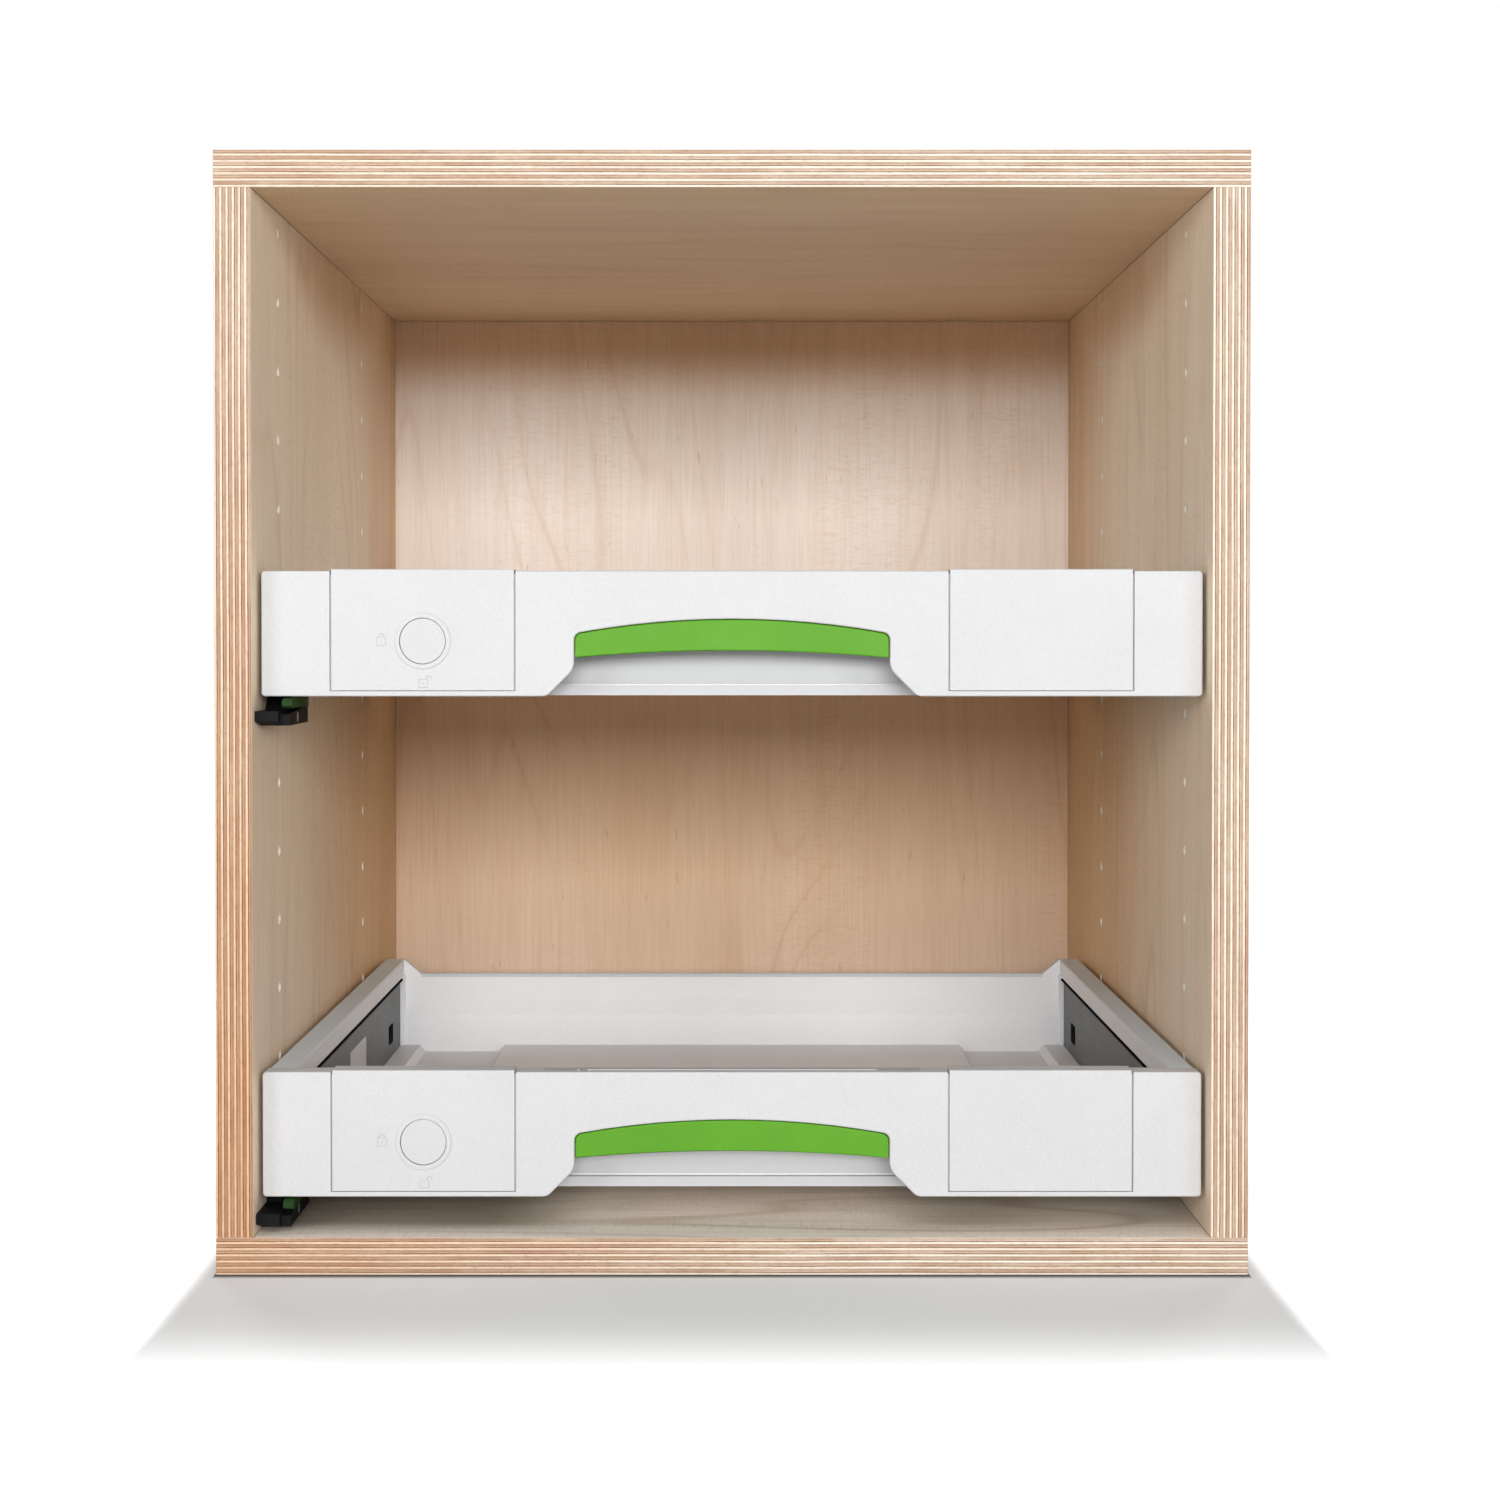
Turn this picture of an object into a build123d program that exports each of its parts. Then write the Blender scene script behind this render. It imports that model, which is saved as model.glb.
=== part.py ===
from build123d import *
import os
from math import radians, sin

os.makedirs("parts", exist_ok=True)

# Tool case drawer unit: a plywood carcass with two pull-out drawers on telescopic slides.
# Millimetres. X to the right, Y to the back, Z up. The origin is at the middle of the base.

# Carcass
board = 16.5
inner_width = 424.0
inner_height = 464.0
inner_depth = 400.0
arris = 0.4

# Dowels of the carcass joints
dowel_radius = 4.0
dowel_length = 28.0
dowel_in_face = 10.0
dowel_fit = 0.05
dowel_end_gap = 0.4
side_dowel_count = 4
side_dowel_spacing = 96.0
back_side_dowel_count = 4
back_side_dowel_spacing = 128.0
back_end_dowel_count = 3
back_end_dowel_spacing = 140.0

# Rows of shelf bores in the sides
bore_pitch = 32.0
bore_radius = 2.5
bore_depth = 13.0
first_bore_rise = 38.0
bore_top_margin = 8.0
front_row = 56.0
row_spacing = 224.0

# Each drawer hangs on one line of bores, counted from the bottom
drawer_bore_line = {"upper": 7, "lower": 0}

# Telescopic slide, u is measured from the side panel, v from the slide's axis
slide_height = 45.0
slide_width = 12.0
slide_front = 22.0
slide_length = 300.0
middle_rail_inset = 2.0
drawer_travel = 300.0
web = 1.2
cabinet_flange = 1.6
cabinet_flange_depth = 8.8
cabinet_lip = 1.5
middle_web_u = 2.4
middle_flange = 1.8
middle_depth = 7.8
drawer_flange = 1.8
drawer_rail_depth = 7.0
rail_bend = 0.6
ball_radius = 2.0
ball_fit = 0.05
ball_groove = 0.35
balls_per_row = 6
ball_pitch = 22.0
outer_ball_u = 4.7
inner_ball_u = 7.1
cage_sheet = 0.6
cage_length = 130.0
cage_gap = 0.3
cage_end_gap = 1.0
cage_margin = 6.0

# Screws of the cabinet rails and of the catch
rail_screw_radius = 2.45
rail_screw_length = 11.0
rail_screw_head = 4.0
catch_screw_radius = 1.5
catch_screw_head = 2.4
catch_screw_length = 24.0
screw_fit = 0.05
head_sink = 0.1
head_clearance = 0.1

# Drawer front
front_setback = 10.0
front_side_gap = 2.0
front_height = 56.0
front_depth = 10.0
front_skin = 3.0
front_return = 2.4
front_top_wall = 3.6
front_corner = 1.8
front_edge = 0.8
front_floor_return = 7.2
top_rib_length = 130.0
top_rib_width = 1.0
top_rib_rise = 0.4
top_peg_radius = 0.7
top_peg_gap = 4.0

# Panels let into the front
panel_side_margin = 30.5
panel_recess_width = 83.0
panel_recess_depth = 1.8
panel_top_recess = 1.2
panel_groove = 0.8
panel_bottom_groove = 0.4
panel_foot = 2.3
panel_rise = 0.8

# Lock
disc_drop = 31.3
disc_radius = 10.15
disc_thickness = 1.8
disc_proud = 0.4
disc_edge = 0.3
ring_radius = 12.5
ring_bore = 10.4
ring_proud = 0.7
ring_edge = 0.4
spindle_radius = 4.0
spindle_fit = 0.05
spindle_square = 5.0
cam_radius = 9.0
cam_sheet = 1.6
cam_gap = 0.3
cam_pin_radius = 1.5
cam_pin_offset = 6.0
cam_pin_play = 0.35
lock_turn = 90.0
bolt_sheet = 1.5
bolt_gap = 0.3
bolt_bar_height = 7.5
bolt_bar_gap = 0.5
bolt_bar_overrun = 4.0
bolt_arm_distance = 36.0
bolt_arm_width = 6.0
bolt_head_height = 6.6
bolt_head_length = 14.0
bolt_tip_height = 2.4
bolt_tip_length = 9.0
bolt_tip_rise = 0.8
peg_radius = 1.5
peg_shoulder = 2.5
peg_play = 0.3
peg_overrun = 0.2
head_peg_offset = 10.0
keeper_prong = 1.3
keeper_clearance = 0.3
keeper_rail_gap = 0.4

# Hand opening and grip bar
opening_half = 70.5
opening_arch_drop = 21.4
opening_arch_sag = 6.5
opening_corner = 3.5
opening_side_bottom = 12.2
opening_flare_round = 8.0
opening_foot_round = 5.0
bar_gap = 0.4
bar_setback = 0.6
bar_depth = 8.4
bar_bottom_drop = 35.6
bar_bottom_sag = 3.2
bar_edge = 0.6
bar_flange_width = 3.0
bar_flange_sheet = 2.0
bar_flange_bottom = 23.0

# Tray
drawer_length = 330.0
tray_wall = 2.2
tray_floor = 1.8
tray_floor_rise = 4.0
tray_floor_slope = 3.0
ledge_width = 12.0
pocket_width = 50.5
tray_front_depth = 17.5
tray_front_wall = 2.5
tray_top_gap = 0.2
rim_height = 10.0
rim_width = 11.5
rim_outer_gap = 3.5
rim_wall = 2.0
rim_top = 2.2
rim_edge = 0.8
rim_lip_rise = 0.5
rim_web_length = 4.0
rear_drop = 8.5
rear_band = 4.0
rear_band_slope = 1.5
rear_bevel = 1.8
rear_upper = 4.0
rear_shoulder_top = 32.7
rear_shoulder_bottom = 23.8
rear_shoulder_sheet = 0.8
rear_corner_width = 10.4
rear_corner_inset = 0.4
post_width = 4.0
post_depth = 5.0
post_lead = 1.0
cove_half = 84.5
cove_top = 40.0
cove_radius = 13.5
cove_wall = 2.2
cove_lip_height = 4.5
cove_lip_proud = 2.5
cove_groove = 0.8

# Steel side plates
plate_sheet = 1.5
plate_top = 46.0
plate_rear_gap = 0.4
plate_foot_width = 12.0
plate_foot_inset = 18.0
plate_foot_gap = 0.1
plate_corner = 5.0
plate_slot_depth_from_rear = 31.0
plate_slot_width = 3.0
plate_slot_height = 10.0
plate_slot_z = 19.0
plate_tick = 1.5
plate_tick_drop = 2.25
plate_tab_gap = 0.2

# Screws of the drawer front
front_screw_radius = 1.4
front_screw_length = 8.0
front_screw_head = 2.9
front_screw_head_height = 1.8
front_screw_cross = 3.2
front_screw_cross_width = 0.7
front_screw_cross_depth = 0.8
front_screw_clearance = 1.8
front_pilot_cover = 1.6
front_boss_radius = 3.2
front_boss_gap = 0.2
outer_screw_inset = 6.5
inner_screw_gap = 5.3
outer_screw_z = (10.0, 26.0)
inner_screw_z = (10.0, 44.0)

# Catch with the release lever, under the left side
catch_width = 14.6
catch_wall_gap = 0.2
catch_drop = 13.0
catch_front = 5.0
catch_length = 45.0
catch_channel_drop = 6.5
catch_channel_width = 10.4
catch_channel_back = 26.0
catch_channel_slope = 6.0
catch_top_gap = 0.4
catch_nose = 4.0
lever_width = 4.6
lever_height = 4.4
lever_front = 7.0
lever_side_step = 1.6
lever_top_gap = 0.8
lever_end_gap = 0.4
lever_nose_length = 3.0
lever_nose_drop = 1.2
lever_chin_length = 2.0
lever_chin_rise = 1.0
lever_edge = 0.5
lever_pin_depth = 42.0
lever_pin_radius = 1.0
lever_pin_fit = 0.05
lever_press = 4.0

# How far features of one piece run into each other
overlap = 1.0

# Sizes that follow from the ones above
half_inner = inner_width / 2
outer_width = inner_width + 2 * board
depth = inner_depth + board
front_y = -depth / 2
ceiling = board + inner_height
side_middle = half_inner + board / 2
back_middle_y = depth / 2 - board / 2
first_bore_z = board + first_bore_rise
bore_count = 1 + int((inner_height - first_bore_rise - bore_top_margin) // bore_pitch)
row_depths = (front_row, front_row + row_spacing)
front_half = half_inner - front_side_gap
slide_axis = slide_height / 2
cage_front = slide_front + drawer_travel / 4 + cage_margin
outer_ball_v = slide_axis - cabinet_flange + ball_groove - ball_radius
middle_flange_v = outer_ball_v - ball_radius + ball_groove
inner_ball_v = middle_flange_v - middle_flange + ball_groove - ball_radius
drawer_flange_v = inner_ball_v - ball_radius + ball_groove
panel_middle = front_half - panel_side_margin - panel_recess_width / 2
disc_z = front_height - disc_drop
disc_x = -panel_middle
skin_back = front_setback + front_skin
cam_front = skin_back + cam_gap
bolt_front = cam_front + cam_sheet + bolt_gap
bolt_travel = 2 * cam_pin_offset * sin(radians(lock_turn / 2))
keeper_u = cabinet_flange_depth - web
keeper_bottom = slide_axis + middle_flange_v + keeper_rail_gap
bolt_tip_z = keeper_bottom + bolt_tip_rise + bolt_tip_height / 2
bolt_arm_left = disc_x - bolt_arm_distance
bolt_bar_top = disc_z - spindle_radius - bolt_bar_gap
drawer_rear = front_setback + drawer_length
tray_front_back = tray_front_depth + tray_front_wall
plate_face = half_inner - slide_width
plate_inner = plate_face - plate_sheet
ledge_inner = plate_inner - ledge_width
centre_floor_half = ledge_inner - pocket_width
outer_screw_x = plate_inner - outer_screw_inset
inner_screw_x = cove_half + cove_wall + inner_screw_gap
rim_outer = half_inner - rim_outer_gap
rim_inner = rim_outer - rim_width
rear_corner_inner = rim_inner - rear_corner_width
rim_bottom = front_height - rim_height
rim_lip = rim_bottom + rim_lip_rise
rear_top = front_height - rear_drop
floor_top = tray_floor + tray_floor_rise
rear_inner = drawer_rear - rear_band
rear_lower_inner = rear_inner - rear_upper
post_front = rear_lower_inner - post_lead
catch_outer_x = -(half_inner - catch_wall_gap)
catch_inner_x = catch_outer_x + catch_width
catch_screw_depth = catch_front + catch_length / 2
catch_screw_z = -(catch_drop + catch_channel_drop) / 2
lever_right = catch_inner_x + lever_side_step
lever_left = lever_right - lever_width
lever_pin_z = -lever_top_gap - lever_height / 2


def export(builder, name):
    builder.part.label = name
    export_step(builder.part, f"parts/{name}.step")


def front_plane(distance, height=0.0):
    """Plane that faces the front, distance behind the carcass front, sketch axes X and Z."""
    return Plane(origin=(0, front_y + distance, height), x_dir=(1, 0, 0), z_dir=(0, -1, 0))


def side_plane(x, height=0.0):
    """Plane that faces +X, sketch axes depth behind the carcass front and Z."""
    return Plane(origin=(x, front_y, height), x_dir=(0, 1, 0), z_dir=(1, 0, 0))


def spread(count, spacing):
    """Places of count things at an even spacing about zero."""
    return [(index - (count - 1) / 2) * spacing for index in range(count)]


# Dowel places: base point, direction of the dowel, and which board it enters face on
side_dowel_ys = spread(side_dowel_count, side_dowel_spacing)
back_side_places = spread(back_side_dowel_count, back_side_dowel_spacing)
back_dowel_zs = [board + inner_height / 2 + z for z in back_side_places]
back_dowel_xs = spread(back_end_dowel_count, back_end_dowel_spacing)
hole_radius = dowel_radius + dowel_fit
face_hole = dowel_in_face + dowel_end_gap
edge_hole = dowel_length - dowel_in_face + dowel_end_gap
low = (Align.CENTER, Align.CENTER, Align.MIN)
upward = (0, 0, 0)
downward = (180, 0, 0)
rightward = (0, 90, 0)
leftward = (0, -90, 0)
forward = (90, 0, 0)
backward = (-90, 0, 0)


def bore(places, direction, length, radius=hole_radius):
    """Round holes cut into the part being built, from each place along the direction."""
    with Locations(*places):
        Cylinder(radius, length, rotation=direction, align=low, mode=Mode.SUBTRACT)


def countersink(head_radius, shank_radius, places, direction):
    """Seats for countersunk heads that lie head_sink below the surface at the places."""
    opening = head_radius + head_sink + head_clearance
    end = shank_radius + head_clearance
    with Locations(*places):
        Cone(opening, end, opening - end, rotation=direction, align=low, mode=Mode.SUBTRACT)


def carcass_end(height, direction):
    """Top or bottom panel: the dowel holes open towards the inside of the carcass."""
    inner_face = height if direction == upward else height + board
    with BuildPart() as panel:
        with BuildSketch(Plane.XY.offset(height)):
            Rectangle(outer_width, depth)
        extrude(amount=board)
        fillet(panel.edges(), arris)
        side_places = [(x, y, inner_face) for x in (-side_middle, side_middle) for y in side_dowel_ys]
        back_places = [(x, back_middle_y, inner_face) for x in back_dowel_xs]
        bore(side_places + back_places, direction, face_hole)
    return panel


def bore_places(sign, lines, x=half_inner):
    """Places of the shelf bores on the given lines of one side."""
    return [
        (sign * x, front_y + row, first_bore_z + bore_pitch * line)
        for line in lines
        for row in row_depths
    ]


def carcass_side(sign):
    """Left (-1) or right (+1) side with its shelf bores and dowel holes."""
    outward = rightward if sign > 0 else leftward
    with BuildPart() as panel:
        with BuildSketch(Plane.XY.offset(board)):
            with Locations((sign * side_middle, 0)):
                Rectangle(board, depth)
        extrude(amount=inner_height)
        fillet(panel.edges(), arris)
        bore([(sign * side_middle, y, board) for y in side_dowel_ys], upward, edge_hole)
        bore([(sign * side_middle, y, ceiling) for y in side_dowel_ys], downward, edge_hole)
        bore([(sign * half_inner, back_middle_y, z) for z in back_dowel_zs], outward, face_hole)
        bore(bore_places(sign, range(bore_count)), outward, bore_depth, bore_radius)
        # the heads of the rail screws sink a little into the wood
        head_places = bore_places(sign, drawer_bore_line.values(), half_inner - web)
        countersink(rail_screw_head, rail_screw_radius, head_places, outward)
        if sign < 0:
            catch_places = [
                (-half_inner, front_y + catch_screw_depth, drawer_base(name) + catch_screw_z)
                for name in drawer_bore_line
            ]
            bore(catch_places, outward, bore_depth, catch_screw_radius + screw_fit)
    return panel


def drawer_base(name):
    """Height of the underside of a drawer's front above the ground."""
    return first_bore_z + bore_pitch * drawer_bore_line[name] - slide_axis


top_panel = carcass_end(ceiling, upward)
export(top_panel, "top_panel")
bottom_panel = carcass_end(0, downward)
export(bottom_panel, "bottom_panel")
left_side = carcass_side(-1)
export(left_side, "left_side")
right_side = carcass_side(1)
export(right_side, "right_side")

with BuildPart() as back_panel:
    with BuildSketch(front_plane(inner_depth)):
        with Locations((0, board + inner_height / 2)):
            Rectangle(inner_width, inner_height)
    extrude(amount=-board)
    fillet(back_panel.edges(), arris)
    bore([(-half_inner, back_middle_y, z) for z in back_dowel_zs], rightward, edge_hole)
    bore([(half_inner, back_middle_y, z) for z in back_dowel_zs], leftward, edge_hole)
    bore([(x, back_middle_y, board) for x in back_dowel_xs], upward, edge_hole)
    bore([(x, back_middle_y, ceiling) for x in back_dowel_xs], downward, edge_hole)
export(back_panel, "back_panel")


def dowels(places, direction):
    """Dowels that start dowel_in_face below each place and run along the direction."""
    with Locations(*places):
        Cylinder(dowel_radius, dowel_length, rotation=direction, align=low)


with BuildPart() as carcass_dowels:
    dowels(
        [(x, y, board - dowel_in_face) for x in (-side_middle, side_middle) for y in side_dowel_ys],
        upward,
    )
    dowels(
        [(x, y, ceiling + dowel_in_face) for x in (-side_middle, side_middle) for y in side_dowel_ys],
        downward,
    )
export(carcass_dowels, "carcass_dowels")

with BuildPart() as back_dowels:
    dowels([(x, back_middle_y, board - dowel_in_face) for x in back_dowel_xs], upward)
    dowels([(x, back_middle_y, ceiling + dowel_in_face) for x in back_dowel_xs], downward)
    dowels([(-half_inner - dowel_in_face, back_middle_y, z) for z in back_dowel_zs], rightward)
    dowels([(half_inner + dowel_in_face, back_middle_y, z) for z in back_dowel_zs], leftward)
export(back_dowels, "back_dowels")


def rail_points(sign, outline):
    """Turn points given as (u, v) into sketch points on a front plane at the slide's axis."""
    return [(sign * (half_inner - u), v) for u, v in outline]


def mirrored_outline(upper):
    """Close a channel outline whose upper half is given, by mirroring it about the axis."""
    return upper + [(u, -v) for u, v in reversed(upper)]


def ball_centres(sign, u, v):
    return [(sign * (half_inner - u), v), (sign * (half_inner - u), -v)]


def corners(profile, x, y):
    """Vertices of an open sketch at (x, y) and, where they exist, at its mirror images."""
    return [
        point
        for point in profile.vertices()
        if abs(abs(point.X) - abs(x)) < 0.01 and abs(abs(point.Y) - abs(y)) < 0.01
    ]


def rail_profile(profile, sign, upper, races):
    """Sketch of a rolled rail: a channel with a groove for each row of balls."""
    Polygon(*rail_points(sign, mirrored_outline(upper)), align=None)
    back_u, back_v = upper[0]
    fillet(corners(profile, half_inner - back_u, back_v), rail_bend)
    for u, v in races:
        with Locations(*ball_centres(sign, u, v)):
            Circle(ball_radius + ball_fit, mode=Mode.SUBTRACT)


def cabinet_rail(sign, base):
    """Rail that is screwed to the side; the left one also carries the keeper of the lock."""
    axis_z = base + slide_axis
    inner_v = slide_axis - cabinet_flange
    lip_u = cabinet_flange_depth - web
    upper = [
        (0, slide_axis),
        (cabinet_flange_depth, slide_axis),
        (cabinet_flange_depth, inner_v - cabinet_lip),
        (lip_u, inner_v - cabinet_lip),
        (lip_u, inner_v),
        (web, inner_v),
    ]
    with BuildPart() as rail:
        with BuildSketch(front_plane(slide_front, axis_z)) as profile:
            rail_profile(profile, sign, upper, [(outer_ball_u, outer_ball_v)])
        extrude(amount=-slide_length)
        face_x = sign * (half_inner - web)
        screw_places = [(face_x, front_y + row, axis_z) for row in row_depths]
        countersink(
            rail_screw_head,
            rail_screw_radius,
            screw_places,
            rightward if sign > 0 else leftward,
        )
        if sign < 0:
            prong_front = bolt_front - keeper_clearance - keeper_prong
            notch_back = bolt_front + bolt_sheet + keeper_clearance
            notch_top = bolt_tip_z + bolt_tip_height / 2 + keeper_clearance - slide_axis
            with BuildSketch(side_plane(-half_inner + keeper_u, axis_z)):
                Polygon(
                    (prong_front, slide_axis),
                    (prong_front, keeper_bottom - slide_axis),
                    (bolt_front - keeper_clearance, keeper_bottom - slide_axis),
                    (bolt_front - keeper_clearance, notch_top),
                    (notch_back, notch_top),
                    (notch_back, keeper_bottom - slide_axis),
                    (slide_front, keeper_bottom - slide_axis),
                    (slide_front, slide_axis),
                    align=None,
                )
            extrude(amount=web)
    return rail


def middle_rail(sign, base):
    outer_u = middle_web_u + middle_depth
    inner_v = middle_flange_v - middle_flange
    upper = [
        (middle_web_u, middle_flange_v),
        (outer_u, middle_flange_v),
        (outer_u, inner_v),
        (middle_web_u + web, inner_v),
    ]
    with BuildPart() as rail:
        with BuildSketch(front_plane(slide_front + middle_rail_inset, base + slide_axis)) as profile:
            races = [(outer_ball_u, outer_ball_v), (inner_ball_u, inner_ball_v)]
            rail_profile(profile, sign, upper, races)
        extrude(amount=-(slide_length - 2 * middle_rail_inset))
    return rail


def drawer_rail(sign, base):
    edge_u = slide_width - drawer_rail_depth
    inner_v = drawer_flange_v - drawer_flange
    upper = [
        (slide_width, drawer_flange_v),
        (edge_u, drawer_flange_v),
        (edge_u, inner_v),
        (slide_width - web, inner_v),
    ]
    with BuildPart() as rail:
        with BuildSketch(front_plane(slide_front, base + slide_axis)) as profile:
            rail_profile(profile, sign, upper, [(inner_ball_u, inner_ball_v)])
        extrude(amount=-slide_length)
    return rail


def ball_places(sign, base, u, v):
    x = sign * (half_inner - u)
    middle_y = front_y + cage_front + cage_length / 2
    return [
        (x, middle_y + step, base + slide_axis + side * v)
        for side in (-1, 1)
        for step in spread(balls_per_row, ball_pitch)
    ]


def ball_cages(base, cage_us, ball_u, ball_v):
    """One cage a side: a thin channel with a hole for every ball."""
    half = ball_v + cage_sheet / 2
    web_u, flange_end_u = cage_us
    with BuildPart() as cages:
        for sign in (-1, 1):
            upper = [
                (web_u, half),
                (flange_end_u, half),
                (flange_end_u, half - cage_sheet),
                (web_u + cage_sheet, half - cage_sheet),
            ]
            with BuildSketch(front_plane(cage_front, base + slide_axis)):
                Polygon(*rail_points(sign, mirrored_outline(upper)), align=None)
            extrude(amount=-cage_length)
            with Locations(*ball_places(sign, base, ball_u, ball_v)):
                Cylinder(ball_radius + ball_fit, 2 * cage_sheet, mode=Mode.SUBTRACT)
    return cages


def balls(base, ball_u, ball_v):
    with BuildPart() as group:
        for sign in (-1, 1):
            with Locations(*ball_places(sign, base, ball_u, ball_v)):
                Sphere(ball_radius)
    return group


def countersunk_screw(radius, head_radius, length, place, direction):
    """Screw whose head lies at the place and whose tip points along the direction."""
    head_height = head_radius - radius
    with Locations(Location(place, direction)):
        Cone(head_radius, radius, head_height, align=low)
        Cylinder(radius, length, align=low)
        for turn in (0, 90):
            Box(
                1.1 * head_radius,
                0.2 * head_radius,
                0.25 * head_radius,
                rotation=(0, 0, turn),
                align=low,
                mode=Mode.SUBTRACT,
            )


def rail_screws(base):
    """Screws of both cabinet rails and of the catch."""
    with BuildPart() as screws:
        for sign in (-1, 1):
            for row in row_depths:
                place = (sign * (half_inner - web + head_sink), front_y + row, base + slide_axis)
                outward = rightward if sign > 0 else leftward
                countersunk_screw(rail_screw_radius, rail_screw_head, rail_screw_length, place, outward)
        place = (catch_inner_x - head_sink, front_y + catch_screw_depth, base + catch_screw_z)
        countersunk_screw(catch_screw_radius, catch_screw_head, catch_screw_length, place, leftward)
    return screws


def front_screw_positions():
    """Screws of the drawer front as (x, z): the outer ones also clamp the side plates."""
    outer = [(sign * outer_screw_x, z) for sign in (-1, 1) for z in outer_screw_z]
    inner = [(sign * inner_screw_x, z) for sign in (-1, 1) for z in inner_screw_z]
    return outer, inner


def drawer_front(base):
    """Hollow moulded front, open at the back, with recesses for its two panels."""
    with BuildPart() as shell:
        with BuildSketch(front_plane(front_setback, base)):
            with Locations((0, front_height / 2)):
                RectangleRounded(2 * front_half, front_height, front_corner)
        extrude(amount=-front_depth)
        # arched hand opening, flared at its foot and open at the bottom
        arch_top = front_height - opening_arch_drop
        arch_end = arch_top - opening_arch_sag
        foot_half = opening_half + opening_side_bottom
        with BuildSketch(front_plane(front_setback, base)) as opening:
            with BuildLine():
                ThreePointArc((-opening_half, arch_end), (0, arch_top), (opening_half, arch_end))
                Polyline(
                    (opening_half, arch_end),
                    (opening_half, opening_side_bottom),
                    (foot_half, 0),
                    (foot_half, -1),
                    (-foot_half, -1),
                    (-foot_half, 0),
                    (-opening_half, opening_side_bottom),
                    (-opening_half, arch_end),
                )
            make_face()
            fillet(corners(opening, opening_half, arch_end), opening_corner)
            fillet(corners(opening, opening_half, opening_side_bottom), opening_flare_round)
        extrude(amount=-front_depth, mode=Mode.SUBTRACT)
        feet = [
            edge
            for edge in shell.edges().filter_by(Axis.Y)
            if abs(abs(edge.center().X) - foot_half) < 0.5 and abs(edge.center().Z - base) < 0.5
        ]
        fillet(feet, opening_foot_round)
        fillet(shell.faces().sort_by(Axis.Y)[0].edges(), front_edge)
        with BuildSketch(front_plane(skin_back, base)):
            with Locations((0, front_return)):
                Rectangle(
                    2 * (front_half - front_return),
                    front_height - front_return - front_top_wall,
                    align=(Align.CENTER, Align.MIN),
                )
        extrude(amount=-front_depth, mode=Mode.SUBTRACT)
        # the bottom return stops short, so that the tray's floor passes over it
        with BuildSketch(front_plane(front_setback + front_floor_return, base)):
            Rectangle(2 * (front_half - front_return), 2 * front_return)
        extrude(amount=-front_depth, mode=Mode.SUBTRACT)
        for sign in (-1, 1):
            with BuildSketch(front_plane(front_setback, base)):
                with Locations((sign * panel_middle, panel_foot)):
                    Rectangle(panel_recess_width, front_height, align=(Align.CENTER, Align.MIN))
            extrude(amount=-panel_recess_depth, mode=Mode.SUBTRACT)
            with BuildSketch(front_plane(front_setback, base)):
                with Locations((sign * panel_middle, front_height - panel_top_recess)):
                    Rectangle(panel_recess_width, front_height, align=(Align.CENTER, Align.MIN))
            extrude(amount=-front_depth, mode=Mode.SUBTRACT)
        # low rib along the top of the middle part, and a small peg beside it
        rib_y = front_y + front_setback + front_depth / 2
        with Locations((0, rib_y, base + front_height)):
            Box(top_rib_length, top_rib_width, top_rib_rise, align=low)
        with Locations((-top_rib_length / 2 - top_peg_gap, rib_y, base + front_height)):
            Cylinder(top_peg_radius, top_rib_rise, align=low)
        # bosses for the screws, and pegs that guide the bolt
        outer, inner = front_screw_positions()
        boss_end = tray_front_depth - front_boss_gap
        boss_places = [(x, front_y + boss_end, base + z) for x, z in outer + inner]
        with Locations(*boss_places):
            Cylinder(front_boss_radius, boss_end - skin_back, rotation=forward, align=low)
        shoulder_places = [(x, front_y + bolt_front - bolt_gap / 2, base + z) for x, z in bolt_pegs()]
        with Locations(*shoulder_places):
            Cylinder(peg_shoulder, bolt_front - bolt_gap / 2 - skin_back, rotation=forward, align=low)
        peg_end = bolt_front + bolt_sheet + peg_overrun
        peg_places = [(x, front_y + peg_end, base + z) for x, z in bolt_pegs()]
        with Locations(*peg_places):
            Cylinder(peg_radius, peg_end - skin_back, rotation=forward, align=low)
        pilot_length = boss_end - front_setback - front_pilot_cover
        bore(boss_places, forward, pilot_length, front_screw_radius + screw_fit)
        spindle_place = (disc_x, front_y + front_setback, base + disc_z)
        bore([spindle_place], backward, front_skin + overlap, spindle_radius + spindle_fit)
    return shell


def inlaid_panel(sign, base):
    """Panel let into the front, hooked over its top edge; the left one rings the lock disc."""
    width = panel_recess_width - 2 * panel_groove
    low_edge = panel_foot + panel_bottom_groove
    top = front_height + panel_rise
    seat = front_height - panel_top_recess
    with BuildPart() as panel:
        with BuildSketch(side_plane(sign * panel_middle, base)):
            Polygon(
                (front_setback, low_edge),
                (front_setback, top),
                (front_setback + front_depth, top),
                (front_setback + front_depth, seat),
                (front_setback + panel_recess_depth, seat),
                (front_setback + panel_recess_depth, low_edge),
                align=None,
            )
        extrude(amount=width / 2, both=True)
        crest = panel.edges().filter_by(Axis.X).group_by(Axis.Y)[0].sort_by(Axis.Z)[-1]
        fillet(crest, front_edge)
        if sign < 0:
            with BuildSketch(front_plane(front_setback, base)):
                with Locations((disc_x, disc_z)):
                    Circle(ring_radius)
            extrude(amount=ring_proud)
            fillet(panel.faces().sort_by(Axis.Y)[0].edges(), ring_edge)
            ring_place = (disc_x, front_y + front_setback - ring_proud, base + disc_z)
            bore([ring_place], backward, front_skin, ring_bore)
    return panel


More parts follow.
